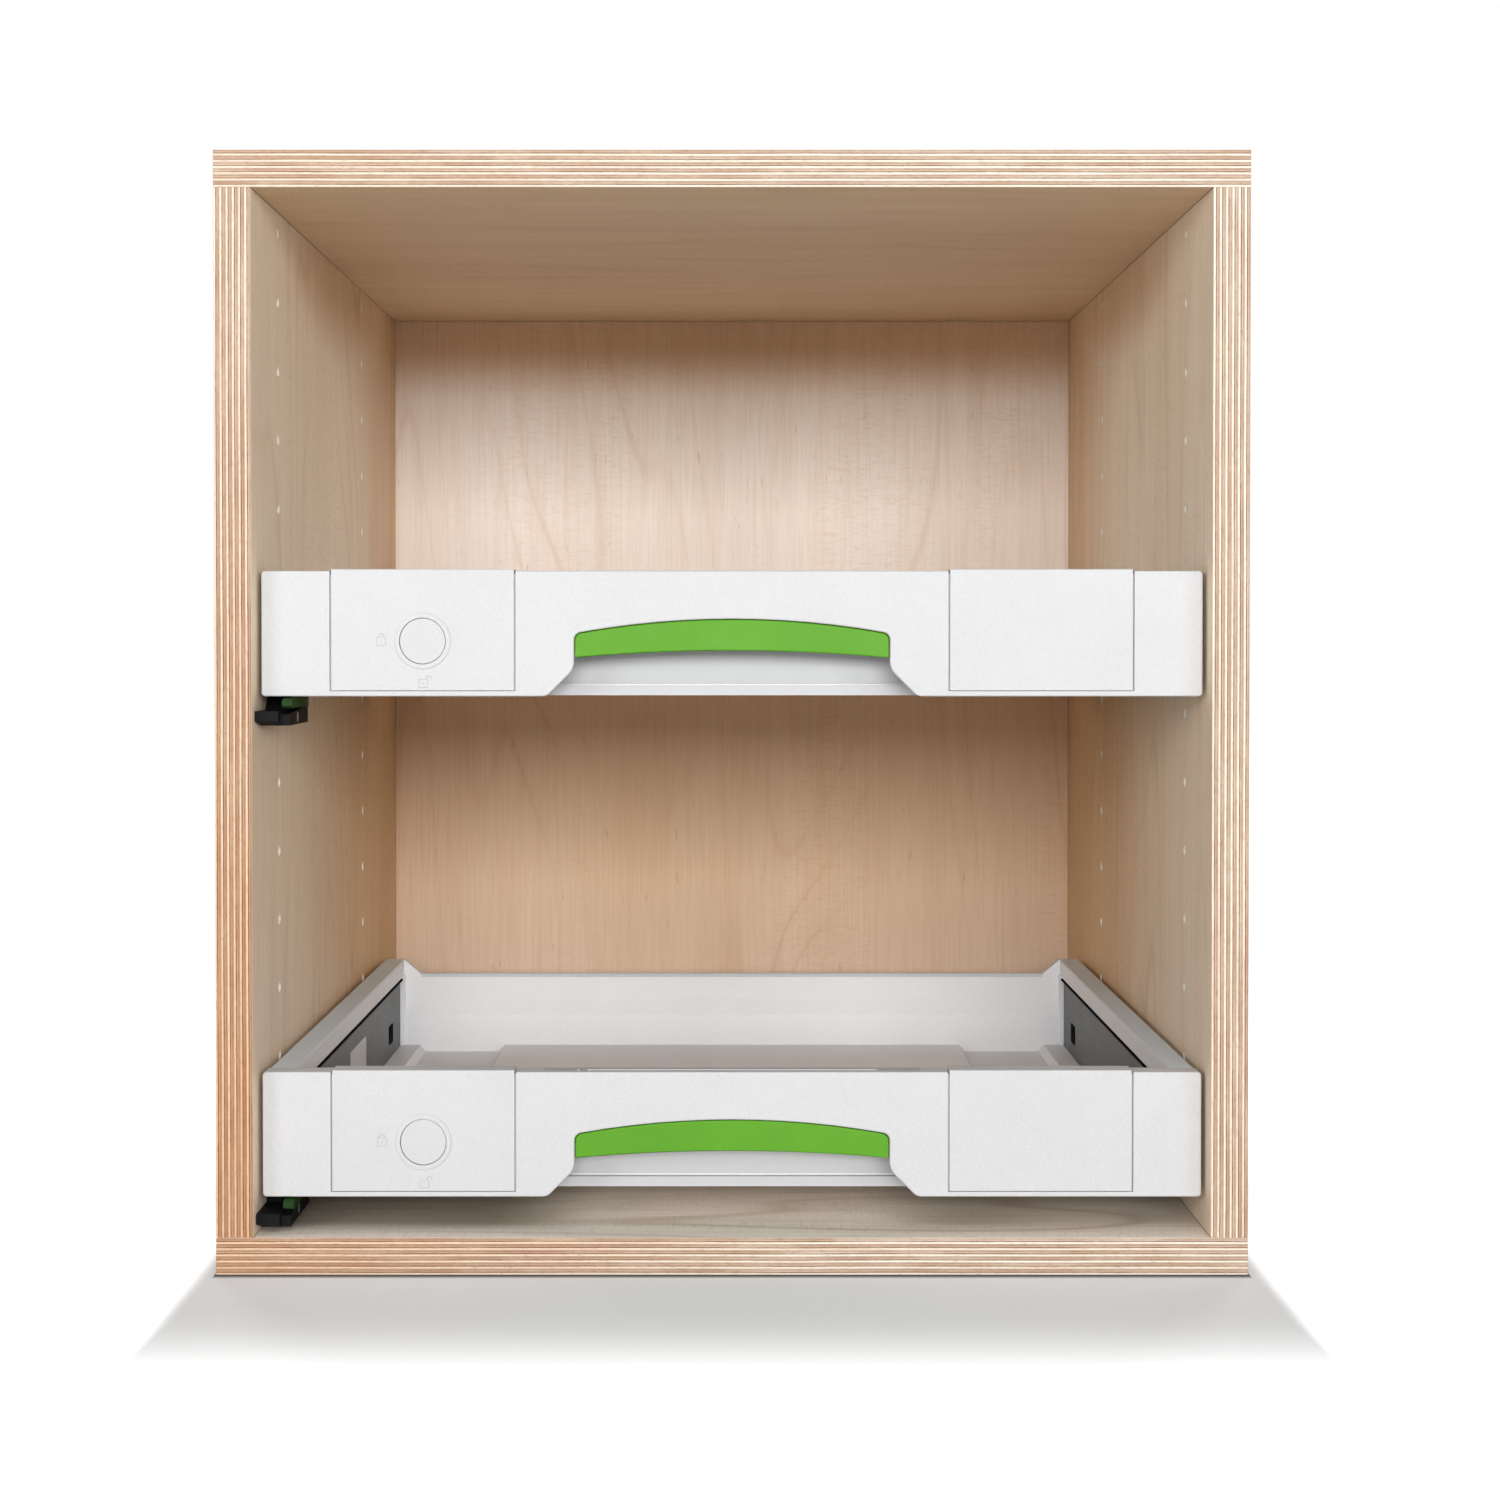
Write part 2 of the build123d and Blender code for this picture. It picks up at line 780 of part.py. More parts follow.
def lock_disc(base):
    """Disc that is turned by a tool or the hand, with the spindle that carries the cam."""
    face = front_setback - disc_proud
    with BuildPart() as disc:
        with BuildSketch(front_plane(face, base)):
            with Locations((disc_x, disc_z)):
                Circle(disc_radius)
        extrude(amount=-disc_thickness)
        fillet(disc.faces().sort_by(Axis.Y)[0].edges(), disc_edge)
        with BuildSketch(front_plane(face + disc_thickness, base)):
            with Locations((disc_x, disc_z)):
                Circle(spindle_radius)
        extrude(amount=-(cam_front - face - disc_thickness))
        with BuildSketch(front_plane(cam_front, base)):
            with Locations((disc_x, disc_z)):
                Rectangle(spindle_square, spindle_square)
        extrude(amount=-cam_sheet)
    return disc


def cam_pin_place():
    """The pin starts half the turn to the right of the lowest point."""
    offset = Vector(cam_pin_offset, 0).rotate(Axis.Z, -90 + lock_turn / 2)
    return disc_x + offset.X, disc_z + offset.Y


def lock_cam(base):
    """Cam on the spindle's square, with the pin that drives the bolt."""
    with BuildPart() as cam:
        with BuildSketch(front_plane(cam_front, base)):
            with Locations((disc_x, disc_z)):
                Circle(cam_radius)
                square = spindle_square + 2 * spindle_fit
                Rectangle(square, square, mode=Mode.SUBTRACT)
        extrude(amount=-cam_sheet)
        with BuildSketch(front_plane(cam_front + cam_sheet, base)):
            with Locations(cam_pin_place()):
                Circle(cam_pin_radius)
        extrude(amount=-(bolt_gap + bolt_sheet + peg_overrun))
    return cam


def bolt_pegs():
    """Guide pegs of the bolt as (x, z): one in its lower bar, one in its upper head."""
    lower = (bolt_arm_left + bolt_arm_width - peg_radius, bolt_bar_top - bolt_bar_height / 2)
    upper = (bolt_arm_left - head_peg_offset, bolt_tip_z)
    return [lower, upper]


def lock_bolt(base):
    """Flat bolt: a lower bar that the cam's pin drives, an arm, and a tip beside the keeper."""
    arm_right = bolt_arm_left + bolt_arm_width
    bar_bottom = bolt_bar_top - bolt_bar_height
    bar_right = disc_x + cam_pin_offset + cam_pin_radius + bolt_bar_overrun
    head_left = bolt_arm_left - bolt_head_length
    tip_left = head_left - bolt_tip_length
    pin_x, _ = cam_pin_place()
    notch_bottom = disc_z - cam_pin_offset - cam_pin_radius - cam_pin_play
    with BuildPart() as bolt:
        with BuildSketch(front_plane(bolt_front, base)):
            Polygon(
                (bolt_arm_left, bar_bottom),
                (bar_right, bar_bottom),
                (bar_right, bolt_bar_top),
                (arm_right, bolt_bar_top),
                (arm_right, bolt_tip_z + bolt_head_height / 2),
                (head_left, bolt_tip_z + bolt_head_height / 2),
                (head_left, bolt_tip_z + bolt_tip_height / 2),
                (tip_left, bolt_tip_z + bolt_tip_height / 2),
                (tip_left, bolt_tip_z - bolt_tip_height / 2),
                (head_left, bolt_tip_z - bolt_tip_height / 2),
                (head_left, bolt_tip_z - bolt_head_height / 2),
                (bolt_arm_left, bolt_tip_z - bolt_head_height / 2),
                align=None,
            )
            # open notch for the cam's pin
            with Locations((pin_x, notch_bottom)):
                Rectangle(
                    2 * (cam_pin_radius + cam_pin_play),
                    cam_radius,
                    align=(Align.CENTER, Align.MIN),
                    mode=Mode.SUBTRACT,
                )
            # slots that run on the guide pegs while the bolt moves left
            for x, z in bolt_pegs():
                with Locations((x + bolt_travel / 2, z)):
                    SlotCenterToCenter(
                        bolt_travel + peg_play,
                        2 * (peg_radius + peg_play),
                        mode=Mode.SUBTRACT,
                    )
        extrude(amount=-bolt_sheet)
    return bolt


def grip_bar(base):
    """Grip bar in the top of the hand opening, with a flange that bears on the skin's back."""
    half = opening_half - bar_gap
    arch_top = front_height - opening_arch_drop - bar_gap
    arch_end = arch_top - opening_arch_sag
    low_middle = front_height - bar_bottom_drop
    low_end = low_middle - bar_bottom_sag
    with BuildPart() as bar:
        with BuildSketch(front_plane(front_setback + bar_setback, base)) as face:
            with BuildLine():
                ThreePointArc((-half, arch_end), (0, arch_top), (half, arch_end))
                Line((half, arch_end), (half, low_end))
                ThreePointArc((half, low_end), (0, low_middle), (-half, low_end))
                Line((-half, low_end), (-half, arch_end))
            make_face()
            fillet(corners(face, half, arch_end), opening_corner)
        extrude(amount=-bar_depth)
        fillet(bar.faces().sort_by(Axis.Y)[0].edges(), bar_edge)
        wide = opening_half + bar_flange_width
        with BuildSketch(front_plane(skin_back, base)):
            with BuildLine():
                ThreePointArc(
                    (-wide, arch_end + bar_flange_width),
                    (0, arch_top + bar_flange_width),
                    (wide, arch_end + bar_flange_width),
                )
                Polyline(
                    (wide, arch_end + bar_flange_width),
                    (wide, bar_flange_bottom),
                    (-wide, bar_flange_bottom),
                    (-wide, arch_end + bar_flange_width),
                )
            make_face()
        extrude(amount=-bar_flange_sheet)
    return bar


def floor_outline(lift):
    """Upper line of the tray's floor from left to right, moved by lift."""
    edge = plate_inner - plate_tab_gap
    right = [
        (centre_floor_half, floor_top + lift),
        (centre_floor_half + tray_floor_slope, tray_floor + lift),
        (ledge_inner - tray_floor_slope, tray_floor + lift),
        (ledge_inner, floor_top + lift),
        (edge, floor_top + lift),
    ]
    left = [(-x, z) for x, z in reversed(right)]
    return left + right


def tray(base):
    """Tray moulding: stepped floor, front wall with the finger cove, rear wall and rims."""
    rear_outer = rear_inner + tray_wall
    rear_lower_outer = rear_lower_inner + tray_wall
    side_half = plate_inner - plate_tab_gap
    front_wall_height = front_height - front_top_wall - tray_top_gap
    with BuildPart() as body:
        # floor
        with BuildSketch(front_plane(tray_front_depth, base)):
            Polygon(*floor_outline(0), *reversed(floor_outline(-tray_floor)), align=None)
        extrude(amount=-(rear_lower_inner + overlap - tray_front_depth))
        # front wall
        with BuildSketch(front_plane(tray_front_depth, base)):
            Rectangle(2 * side_half, front_wall_height, align=(Align.CENTER, Align.MIN))
        extrude(amount=-tray_front_wall)
        # finger cove: a quarter round that bulges into the tray
        outer_half = cove_half + cove_wall
        extrude(cove_section(cove_wall, 0, base), amount=outer_half, both=True)
        extrude(cove_section(0, overlap, base), amount=cove_half, both=True, mode=Mode.SUBTRACT)
        cove_back = tray_front_depth + cove_radius
        with BuildSketch(side_plane(0, base)):
            with Locations((cove_back + cove_wall, 0)):
                Rectangle(
                    cove_lip_proud + cove_wall,
                    cove_lip_height,
                    align=(Align.MAX, Align.MIN),
                )
        extrude(amount=cove_half, both=True)
        with BuildSketch(side_plane(0, base)):
            with Locations((cove_back, cove_lip_height)):
                Rectangle(cove_groove, cove_groove, align=(Align.MIN, Align.MIN))
        extrude(amount=cove_half, both=True, mode=Mode.SUBTRACT)
        # rear wall with its shoulder, and a thicker band along the top
        with BuildSketch(side_plane(0, base)):
            Polygon(
                (rear_lower_inner, 0),
                (rear_lower_inner, rear_shoulder_bottom),
                (rear_inner, rear_shoulder_top),
                (rear_inner, rear_top - rear_bevel),
                (rear_inner + rear_bevel, rear_top),
                (drawer_rear, rear_top),
                (drawer_rear, rear_top - rear_band),
                (rear_outer, rear_top - rear_band - rear_band_slope),
                (rear_outer, rear_shoulder_top - rear_shoulder_sheet),
                (rear_lower_outer, rear_shoulder_bottom - rear_shoulder_sheet),
                (rear_lower_outer, 0),
                align=None,
            )
        extrude(amount=plate_face, both=True)
        # raised ends of the rear wall
        with BuildSketch(front_plane(rear_inner, base)):
            for sign in (-1, 1):
                Polygon(
                    (sign * rear_corner_inner, rear_top - rear_band),
                    (sign * rear_corner_inner, rear_top),
                    (sign * (rim_inner - rear_corner_inset), front_height),
                    (sign * rim_outer, front_height),
                    (sign * rim_outer, rim_bottom),
                    (sign * plate_face, rim_bottom),
                    (sign * plate_face, rear_top - rear_band),
                    align=None,
                )
        extrude(amount=-rear_band)
        # corner posts
        with BuildSketch(Plane.XY.offset(base)):
            for sign in (-1, 1):
                with Locations((sign * (plate_face - post_width / 2), front_y + post_front)):
                    Rectangle(post_width, post_depth, align=(Align.CENTER, Align.MIN))
        extrude(amount=rim_bottom + overlap)
        # rims: channels that cover the slides
        rim_front = tray_front_back + plate_tab_gap
        with BuildSketch(front_plane(rim_front, base)):
            for sign in (-1, 1):
                Polygon(
                    (sign * rim_inner, rim_lip),
                    (sign * rim_inner, front_height),
                    (sign * rim_outer, front_height),
                    (sign * rim_outer, rim_bottom),
                    (sign * (rim_outer - rim_wall), rim_bottom),
                    (sign * (rim_outer - rim_wall), front_height - rim_top),
                    (sign * (rim_inner + rim_top), front_height - rim_top),
                    (sign * (rim_inner + rim_top), rim_lip),
                    align=None,
                )
        extrude(amount=-(drawer_rear - rear_band - rim_front))
        # web that ties each rim's front end to the front wall
        with BuildSketch(front_plane(tray_front_depth, base)):
            for sign in (-1, 1):
                with Locations((sign * (rim_inner + rim_top / 2), rim_lip)):
                    Rectangle(rim_top, front_wall_height - rim_lip, align=(Align.CENTER, Align.MIN))
        extrude(amount=-(rim_front + rim_web_length - tray_front_depth))
        # rounded upper edges of the rims
        crests = [
            edge
            for edge in body.edges().filter_by(Axis.Y)
            if abs(edge.center().Z - base - front_height) < 0.01 and edge.length > drawer_length / 2
        ]
        fillet(crests, rim_edge)
        # holes for the screws of the front
        outer, inner = front_screw_positions()
        hole_places = [(x, front_y + tray_front_depth - overlap, base + z) for x, z in outer + inner]
        bore(hole_places, backward, tray_front_wall + 2 * overlap, front_screw_clearance)
    return body


def cove_section(grow, overrun, base):
    """Side profile of the quarter round cove, grown outwards by grow."""
    radius = cove_radius + grow
    centre_z = cove_top - cove_radius
    from_corner = (Align.MIN, Align.MIN)
    with BuildSketch(side_plane(0, base)) as section:
        with Locations((tray_front_depth, centre_z)):
            Circle(radius)
        with Locations((tray_front_depth, -overrun)):
            Rectangle(radius, centre_z + overrun, align=from_corner)
        with Locations((tray_front_depth - overrun, -overrun)):
            Rectangle(2 * radius, 2 * cove_top, align=from_corner, mode=Mode.INTERSECT)
    return section.sketch


def side_plate(sign, base):
    """Steel plate between tray and slide: upright web, foot under the ledge, front tab."""
    foot_top = floor_top - tray_floor - plate_foot_gap
    foot_bottom = foot_top - plate_sheet
    web_front = tray_front_back + plate_tab_gap
    rear = post_front - plate_rear_gap
    left_x = min(sign * plate_inner, sign * plate_face)
    with BuildPart() as plate:
        with BuildSketch(side_plane(left_x, base)) as web_face:
            with Locations((web_front, foot_bottom)):
                Rectangle(
                    rear - web_front,
                    plate_top - foot_bottom,
                    align=(Align.MIN, Align.MIN),
                )
            fillet(corners(web_face, rear, plate_top), plate_corner)
            with Locations((rear - plate_slot_depth_from_rear, plate_slot_z)):
                SlotOverall(
                    plate_slot_height,
                    plate_slot_width,
                    rotation=90,
                    mode=Mode.SUBTRACT,
                )
            tick_z = plate_slot_z - plate_slot_height / 2 - plate_tick_drop
            with Locations((rear - plate_slot_depth_from_rear, tick_z)):
                Rectangle(plate_slot_width, plate_tick, mode=Mode.SUBTRACT)
        extrude(amount=plate_sheet)
        # foot that carries the tray
        with BuildSketch(Plane.XY.offset(base + foot_bottom)):
            with Locations((sign * plate_face, front_y + web_front + plate_foot_inset)):
                Rectangle(
                    plate_foot_width,
                    rear - web_front - 2 * plate_foot_inset,
                    align=(Align.MAX if sign > 0 else Align.MIN, Align.MIN),
                )
        extrude(amount=plate_sheet)
        # tab that the outer screws clamp against the front wall
        tab_bottom = floor_top + plate_foot_gap
        with BuildSketch(front_plane(web_front, base)):
            with Locations((sign * plate_face, tab_bottom)):
                Rectangle(
                    plate_foot_width,
                    plate_top - plate_corner - tab_bottom,
                    align=(Align.MAX if sign > 0 else Align.MIN, Align.MIN),
                )
            for z in outer_screw_z:
                with Locations((sign * outer_screw_x, z)):
                    Circle(front_screw_clearance, mode=Mode.SUBTRACT)
        extrude(amount=-plate_sheet)
    return plate


def front_screws(base):
    """Pan head screws from the tray's side into the bosses of the front."""
    outer, inner = front_screw_positions()
    outer_seat = tray_front_back + plate_tab_gap + plate_sheet
    with BuildPart() as screws:
        for places, seat in ((outer, outer_seat), (inner, tray_front_back)):
            with Locations(*[(x, front_y + seat, base + z) for x, z in places]):
                Cylinder(front_screw_radius, front_screw_length, rotation=forward, align=low)
                Cylinder(front_screw_head, front_screw_head_height, rotation=backward, align=low)
            with Locations(*[(x, front_y + seat + front_screw_head_height, base + z) for x, z in places]):
                for turn in (0, 90):
                    Box(
                        front_screw_cross,
                        2 * front_screw_cross_depth,
                        front_screw_cross_width,
                        rotation=(0, turn, 0),
                        mode=Mode.SUBTRACT,
                    )
    return screws


def catch_housing(base):
    """Black block under the left slide: nose, open channel in its top, seat of the lever."""
    rear = catch_front + catch_length
    lever_bottom = -lever_top_gap - lever_height
    cheek_left = catch_outer_x + catch_channel_width
    pin_seat_back = lever_pin_depth + lever_height / 2 + lever_end_gap
    dip = (lever_pin_depth - lever_front) * sin(radians(lever_press)) + lever_end_gap
    with BuildPart() as housing:
        with BuildSketch(side_plane(catch_outer_x, base)):
            Polygon(
                (catch_front, -catch_channel_drop),
                (catch_front, -catch_drop + catch_nose / 2),
                (catch_front + catch_nose, -catch_drop),
                (rear, -catch_drop),
                (rear, -catch_top_gap),
                (catch_channel_back + catch_channel_slope, -catch_top_gap),
                (catch_channel_back, -catch_channel_drop),
                align=None,
            )
        extrude(amount=catch_width)
        # the right part starts further back and dips in front, below the lever
        with BuildSketch(side_plane(cheek_left, base)):
            Polygon(
                (catch_front - overlap, overlap),
                (catch_front - overlap, -catch_drop - overlap),
                (catch_front + catch_nose, -catch_drop - overlap),
                (catch_front + catch_nose, lever_bottom - dip),
                (lever_pin_depth - lever_height / 2, lever_bottom - lever_end_gap),
                (pin_seat_back, lever_bottom - lever_end_gap),
                (pin_seat_back, overlap),
                align=None,
            )
        extrude(amount=catch_width, mode=Mode.SUBTRACT)
        # cheek beside the lever carries its pin
        with BuildSketch(side_plane(cheek_left, base)):
            with Locations((lever_pin_depth, lever_bottom - lever_end_gap)):
                Rectangle(
                    2 * lever_height,
                    lever_height + lever_top_gap + lever_end_gap - catch_top_gap,
                    align=(Align.CENTER, Align.MIN),
                )
        extrude(amount=lever_left - lever_end_gap - cheek_left)
        # chamfer along the lower left edge
        low_edges = housing.edges().filter_by(Axis.Y).sort_by(Axis.Z)[:2].sort_by(Axis.X)[:1]
        chamfer(low_edges, catch_nose / 2)
        pin_place = (catch_outer_x + catch_wall_gap, front_y + lever_pin_depth, base + lever_pin_z)
        bore([pin_place], rightward, catch_width, lever_pin_radius + lever_pin_fit)
        screw_place = (catch_inner_x, front_y + catch_screw_depth, base + catch_screw_z)
        bore([screw_place], leftward, catch_width, catch_screw_radius + screw_fit)
        countersink(catch_screw_head, catch_screw_radius, [screw_place], leftward)
    return housing


def release_lever(base):
    """Green lever that is pressed down at its front end."""
    top = -lever_top_gap
    bottom = top - lever_height
    with BuildPart() as lever:
        with BuildSketch(side_plane(lever_left, base)):
            Polygon(
                (lever_front, bottom + lever_chin_rise),
                (lever_front, top - lever_nose_drop),
                (lever_front + lever_nose_length, top),
                (lever_pin_depth + lever_height / 2, top),
                (lever_pin_depth + lever_height / 2, bottom),
                (lever_front + lever_chin_length, bottom),
                align=None,
            )
        extrude(amount=lever_width)
        fillet(lever.faces().sort_by(Axis.Y)[0].edges().filter_by(Axis.X), lever_edge)
        pin_place = (lever_left - overlap, front_y + lever_pin_depth, base + lever_pin_z)
        bore([pin_place], rightward, lever_width + 2 * overlap, lever_pin_radius + lever_pin_fit)
    return lever


def lever_pin(base):
    left = catch_outer_x + catch_wall_gap + lever_end_gap
    with BuildPart() as pin:
        with BuildSketch(side_plane(left, base)):
            with Locations((lever_pin_depth, lever_pin_z)):
                Circle(lever_pin_radius)
        extrude(amount=lever_right - left)
    return pin


outer_cage_us = (web + cage_gap, cabinet_flange_depth - web - cage_gap)
inner_cage_us = (middle_web_u + web + cage_gap, slide_width - web - cage_end_gap)
for name in drawer_bore_line:
    base_z = drawer_base(name)
    export(tray(base_z), f"{name}_tray")
    export(drawer_front(base_z), f"{name}_front")
    export(inlaid_panel(-1, base_z), f"{name}_lock_panel")
    export(inlaid_panel(1, base_z), f"{name}_label_panel")
    export(lock_disc(base_z), f"{name}_lock_disc")
    export(lock_cam(base_z), f"{name}_lock_cam")
    export(lock_bolt(base_z), f"{name}_lock_bolt")
    export(grip_bar(base_z), f"{name}_grip_bar")
    export(front_screws(base_z), f"{name}_front_screws")
    for sign, side in ((-1, "left"), (1, "right")):
        export(side_plate(sign, base_z), f"{name}_{side}_side_plate")
        export(cabinet_rail(sign, base_z), f"{name}_{side}_cabinet_rail")
        export(middle_rail(sign, base_z), f"{name}_{side}_middle_rail")
        export(drawer_rail(sign, base_z), f"{name}_{side}_drawer_rail")
    outer_cages = ball_cages(base_z, outer_cage_us, outer_ball_u, outer_ball_v)
    export(outer_cages, f"{name}_outer_cages")
    export(balls(base_z, outer_ball_u, outer_ball_v), f"{name}_outer_balls")
    inner_cages = ball_cages(base_z, inner_cage_us, inner_ball_u, inner_ball_v)
    export(inner_cages, f"{name}_inner_cages")
    export(balls(base_z, inner_ball_u, inner_ball_v), f"{name}_inner_balls")
    export(rail_screws(base_z), f"{name}_rail_screws")
    export(catch_housing(base_z), f"{name}_catch_housing")
    export(release_lever(base_z), f"{name}_release_lever")
    export(lever_pin(base_z), f"{name}_lever_pin")
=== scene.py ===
import bmesh
import bpy
import math
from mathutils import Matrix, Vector

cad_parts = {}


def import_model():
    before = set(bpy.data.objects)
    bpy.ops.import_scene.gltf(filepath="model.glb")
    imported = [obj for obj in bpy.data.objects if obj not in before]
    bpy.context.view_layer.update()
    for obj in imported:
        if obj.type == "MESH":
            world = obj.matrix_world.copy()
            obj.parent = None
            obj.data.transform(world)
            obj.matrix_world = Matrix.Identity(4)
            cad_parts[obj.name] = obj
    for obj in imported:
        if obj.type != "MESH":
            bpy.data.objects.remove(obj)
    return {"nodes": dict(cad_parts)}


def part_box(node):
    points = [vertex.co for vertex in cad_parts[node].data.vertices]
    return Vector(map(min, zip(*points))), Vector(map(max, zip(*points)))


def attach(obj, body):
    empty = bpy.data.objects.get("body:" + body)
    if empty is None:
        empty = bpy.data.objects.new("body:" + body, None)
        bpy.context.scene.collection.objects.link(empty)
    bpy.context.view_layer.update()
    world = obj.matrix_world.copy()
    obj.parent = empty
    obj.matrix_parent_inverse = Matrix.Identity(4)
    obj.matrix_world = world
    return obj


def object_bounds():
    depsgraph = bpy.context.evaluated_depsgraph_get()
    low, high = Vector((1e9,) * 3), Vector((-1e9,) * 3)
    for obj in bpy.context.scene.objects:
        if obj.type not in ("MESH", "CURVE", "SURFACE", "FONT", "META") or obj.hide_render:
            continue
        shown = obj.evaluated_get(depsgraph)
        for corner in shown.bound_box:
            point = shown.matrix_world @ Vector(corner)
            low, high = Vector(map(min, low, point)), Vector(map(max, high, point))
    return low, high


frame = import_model()
cad_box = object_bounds()

X, Y, Z = 0, 1, 2
MM = 0.001

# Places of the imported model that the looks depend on

box = {name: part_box(name) for name in frame["nodes"]}
low_end, high_end = cad_box
INNER = {
    X: (box["left_side"][1][X], box["right_side"][0][X]),
    Y: (None, box["back_panel"][0][Y]),
    Z: (box["bottom_panel"][1][Z], box["top_panel"][0][Z]),
}
CEILING = INNER[Z][1]
BAY_SPLIT = box["upper_front"][0][Z]
FRONT_FACE = box["upper_front"][0][Y]


# Node helpers

def add(tree, kind, inputs=None, **settings):
    """New node, with its settings and its inputs, each a value or a socket to link."""
    node = tree.nodes.new(kind)
    for key, value in settings.items():
        setattr(node, key, value)
    for key, value in (inputs or {}).items():
        if isinstance(value, bpy.types.NodeSocket):
            tree.links.new(value, node.inputs[key])
        else:
            node.inputs[key].default_value = value
    return node


def math_node(tree, operation, a, b=0.0, clamp=False):
    return add(tree, "ShaderNodeMath", {0: a, 1: b}, operation=operation, use_clamp=clamp).outputs[0]


def times(tree, a, b):
    return math_node(tree, "MULTIPLY", a, b)


def minus(tree, a, b):
    return math_node(tree, "SUBTRACT", a, b)


def apart(tree, a, b):
    """Distance between two values."""
    return math_node(tree, "ABSOLUTE", minus(tree, a, b))


def mix_value(tree, factor, a, b):
    return add(tree, "ShaderNodeMix", {0: factor, 2: a, 3: b}, data_type="FLOAT").outputs[0]


def mix_colour(tree, factor, a, b, blend="MIX"):
    node = add(tree, "ShaderNodeMix", data_type="RGBA", blend_type=blend, clamp_result=True)
    for index, value in ((0, factor), (6, a), (7, b)):
        if isinstance(value, bpy.types.NodeSocket):
            tree.links.new(value, node.inputs[index])
        else:
            node.inputs[index].default_value = value
    return node.outputs[2]


def ramp(tree, factor, stops):
    """Colour ramp with the given (place, colour or grey) stops."""
    node = add(tree, "ShaderNodeValToRGB", {"Fac": factor})
    elements = node.color_ramp.elements
    while len(elements) < len(stops):
        elements.new(0.5)
    for element, (place, colour) in zip(elements, stops):
        element.position = place
        element.color = colour if isinstance(colour, tuple) else (colour, colour, colour, 1)
    return node.outputs["Color"]


def noise(tree, vector, scale, detail=2.0, roughness=0.5, distortion=0.0):
    inputs = {
        "Vector": vector, "Scale": scale, "Detail": detail, "Roughness": roughness, "Distortion": distortion,
    }
    return add(tree, "ShaderNodeTexNoise", inputs).outputs[0]


def step(tree, value, start, end, low=0.0, high=1.0, kind="SMOOTHSTEP"):
    """Step of a value, from low at start to high at end."""
    inputs = {"Value": value, "From Min": start, "From Max": end, "To Min": low, "To Max": high}
    return add(tree, "ShaderNodeMapRange", inputs, interpolation_type=kind).outputs[0]


def object_place(tree):
    return add(tree, "ShaderNodeTexCoord").outputs["Object"]


def split(tree, vector):
    """The three parts of a vector."""
    return add(tree, "ShaderNodeSeparateXYZ", {0: vector}).outputs


def true_normal(tree):
    return split(tree, add(tree, "ShaderNodeNewGeometry").outputs["True Normal"])


def scaled(tree, vector, scale):
    return add(tree, "ShaderNodeMapping", {"Vector": vector, "Scale": tuple(scale)}).outputs[0]


def new_material(name):
    material = bpy.data.materials.new(name)
    material.use_nodes = True
    tree = material.node_tree
    return material, tree, tree.nodes["Principled BSDF"]


def srgb(r, g, b):
    """Linear colour of an 8 bit colour."""
    def linear(value):
        value /= 255
        return value / 12.92 if value <= 0.04045 else ((value + 0.055) / 1.055) ** 2.4
    return (linear(r), linear(g), linear(b), 1)


def set_bump(tree, shader, height, strength, distance):
    bump = add(tree, "ShaderNodeBump", {"Height": height, "Strength": strength, "Distance": distance})
    tree.links.new(bump.outputs["Normal"], shader.inputs["Normal"])


# Birch plywood

# pale ground, warm cloud and dark line of the veneer; each board's inner tones are partly its sheet's own
# tone and partly painted light: the ceiling darker and warmer as painted shade, the back, sides and floor
# paler in place of the light they lack
OUTER_TONES = (srgb(238, 222, 200), srgb(230, 209, 182), srgb(186, 150, 116))
SIDE_TONES = (srgb(250, 237, 217), srgb(243, 225, 201), srgb(192, 158, 122))
BACK_TONES = (srgb(250, 240, 231), srgb(245, 231, 217), srgb(206, 167, 136))
TOP_TONES = (srgb(233, 206, 171), srgb(224, 193, 155), srgb(184, 142, 104))
BOTTOM_TONES = (srgb(253, 245, 234), srgb(248, 233, 215), srgb(158, 112, 78))
VENEER_PORE = srgb(160, 122, 90)
# painted shade for the inner corners where boards meet
PAINTED_CORNER_SHADE = srgb(92, 60, 40)
# raw wood in the bores: its own pale colour, lifted further as painted light for the light caught in them
BORE_WOOD_PAINTED_BRIGHT = srgb(252, 244, 230)
# the figure changes faster through the board than across it, and its rings have thin dark lines
FIGURE_DEPTH = 3.0
RING_COUNT = 34.0
RING_LINE = [(0.0, 1.0), (0.07, 0.75), (0.18, 0.2), (0.55, 0.0)]
VENEER_ROUGHNESS = [(0.2, 0.44), (0.8, 0.58)]
PLY_BUMP, PLY_BUMP_DISTANCE = 0.3, 0.15 * MM
PLY_SPECULAR = 0.3
EDGE_ROUGHNESS = (0.7, 0.7, 0.7, 1)
# a board's face is where the normal leans this far to its thickness axis, and an edge surface
# further than the margin from the unit's outside is the wall of a bore
FACE_NORMAL = 0.75
BORE_EDGE_MARGIN = 4.0 * MM
# width and strength of the painted corner shade
CORNER_SHADE_CORE, CORNER_SHADE_REACH, CORNER_SHADE_SHARE = 0.15 * MM, 0.6 * MM, 0.38

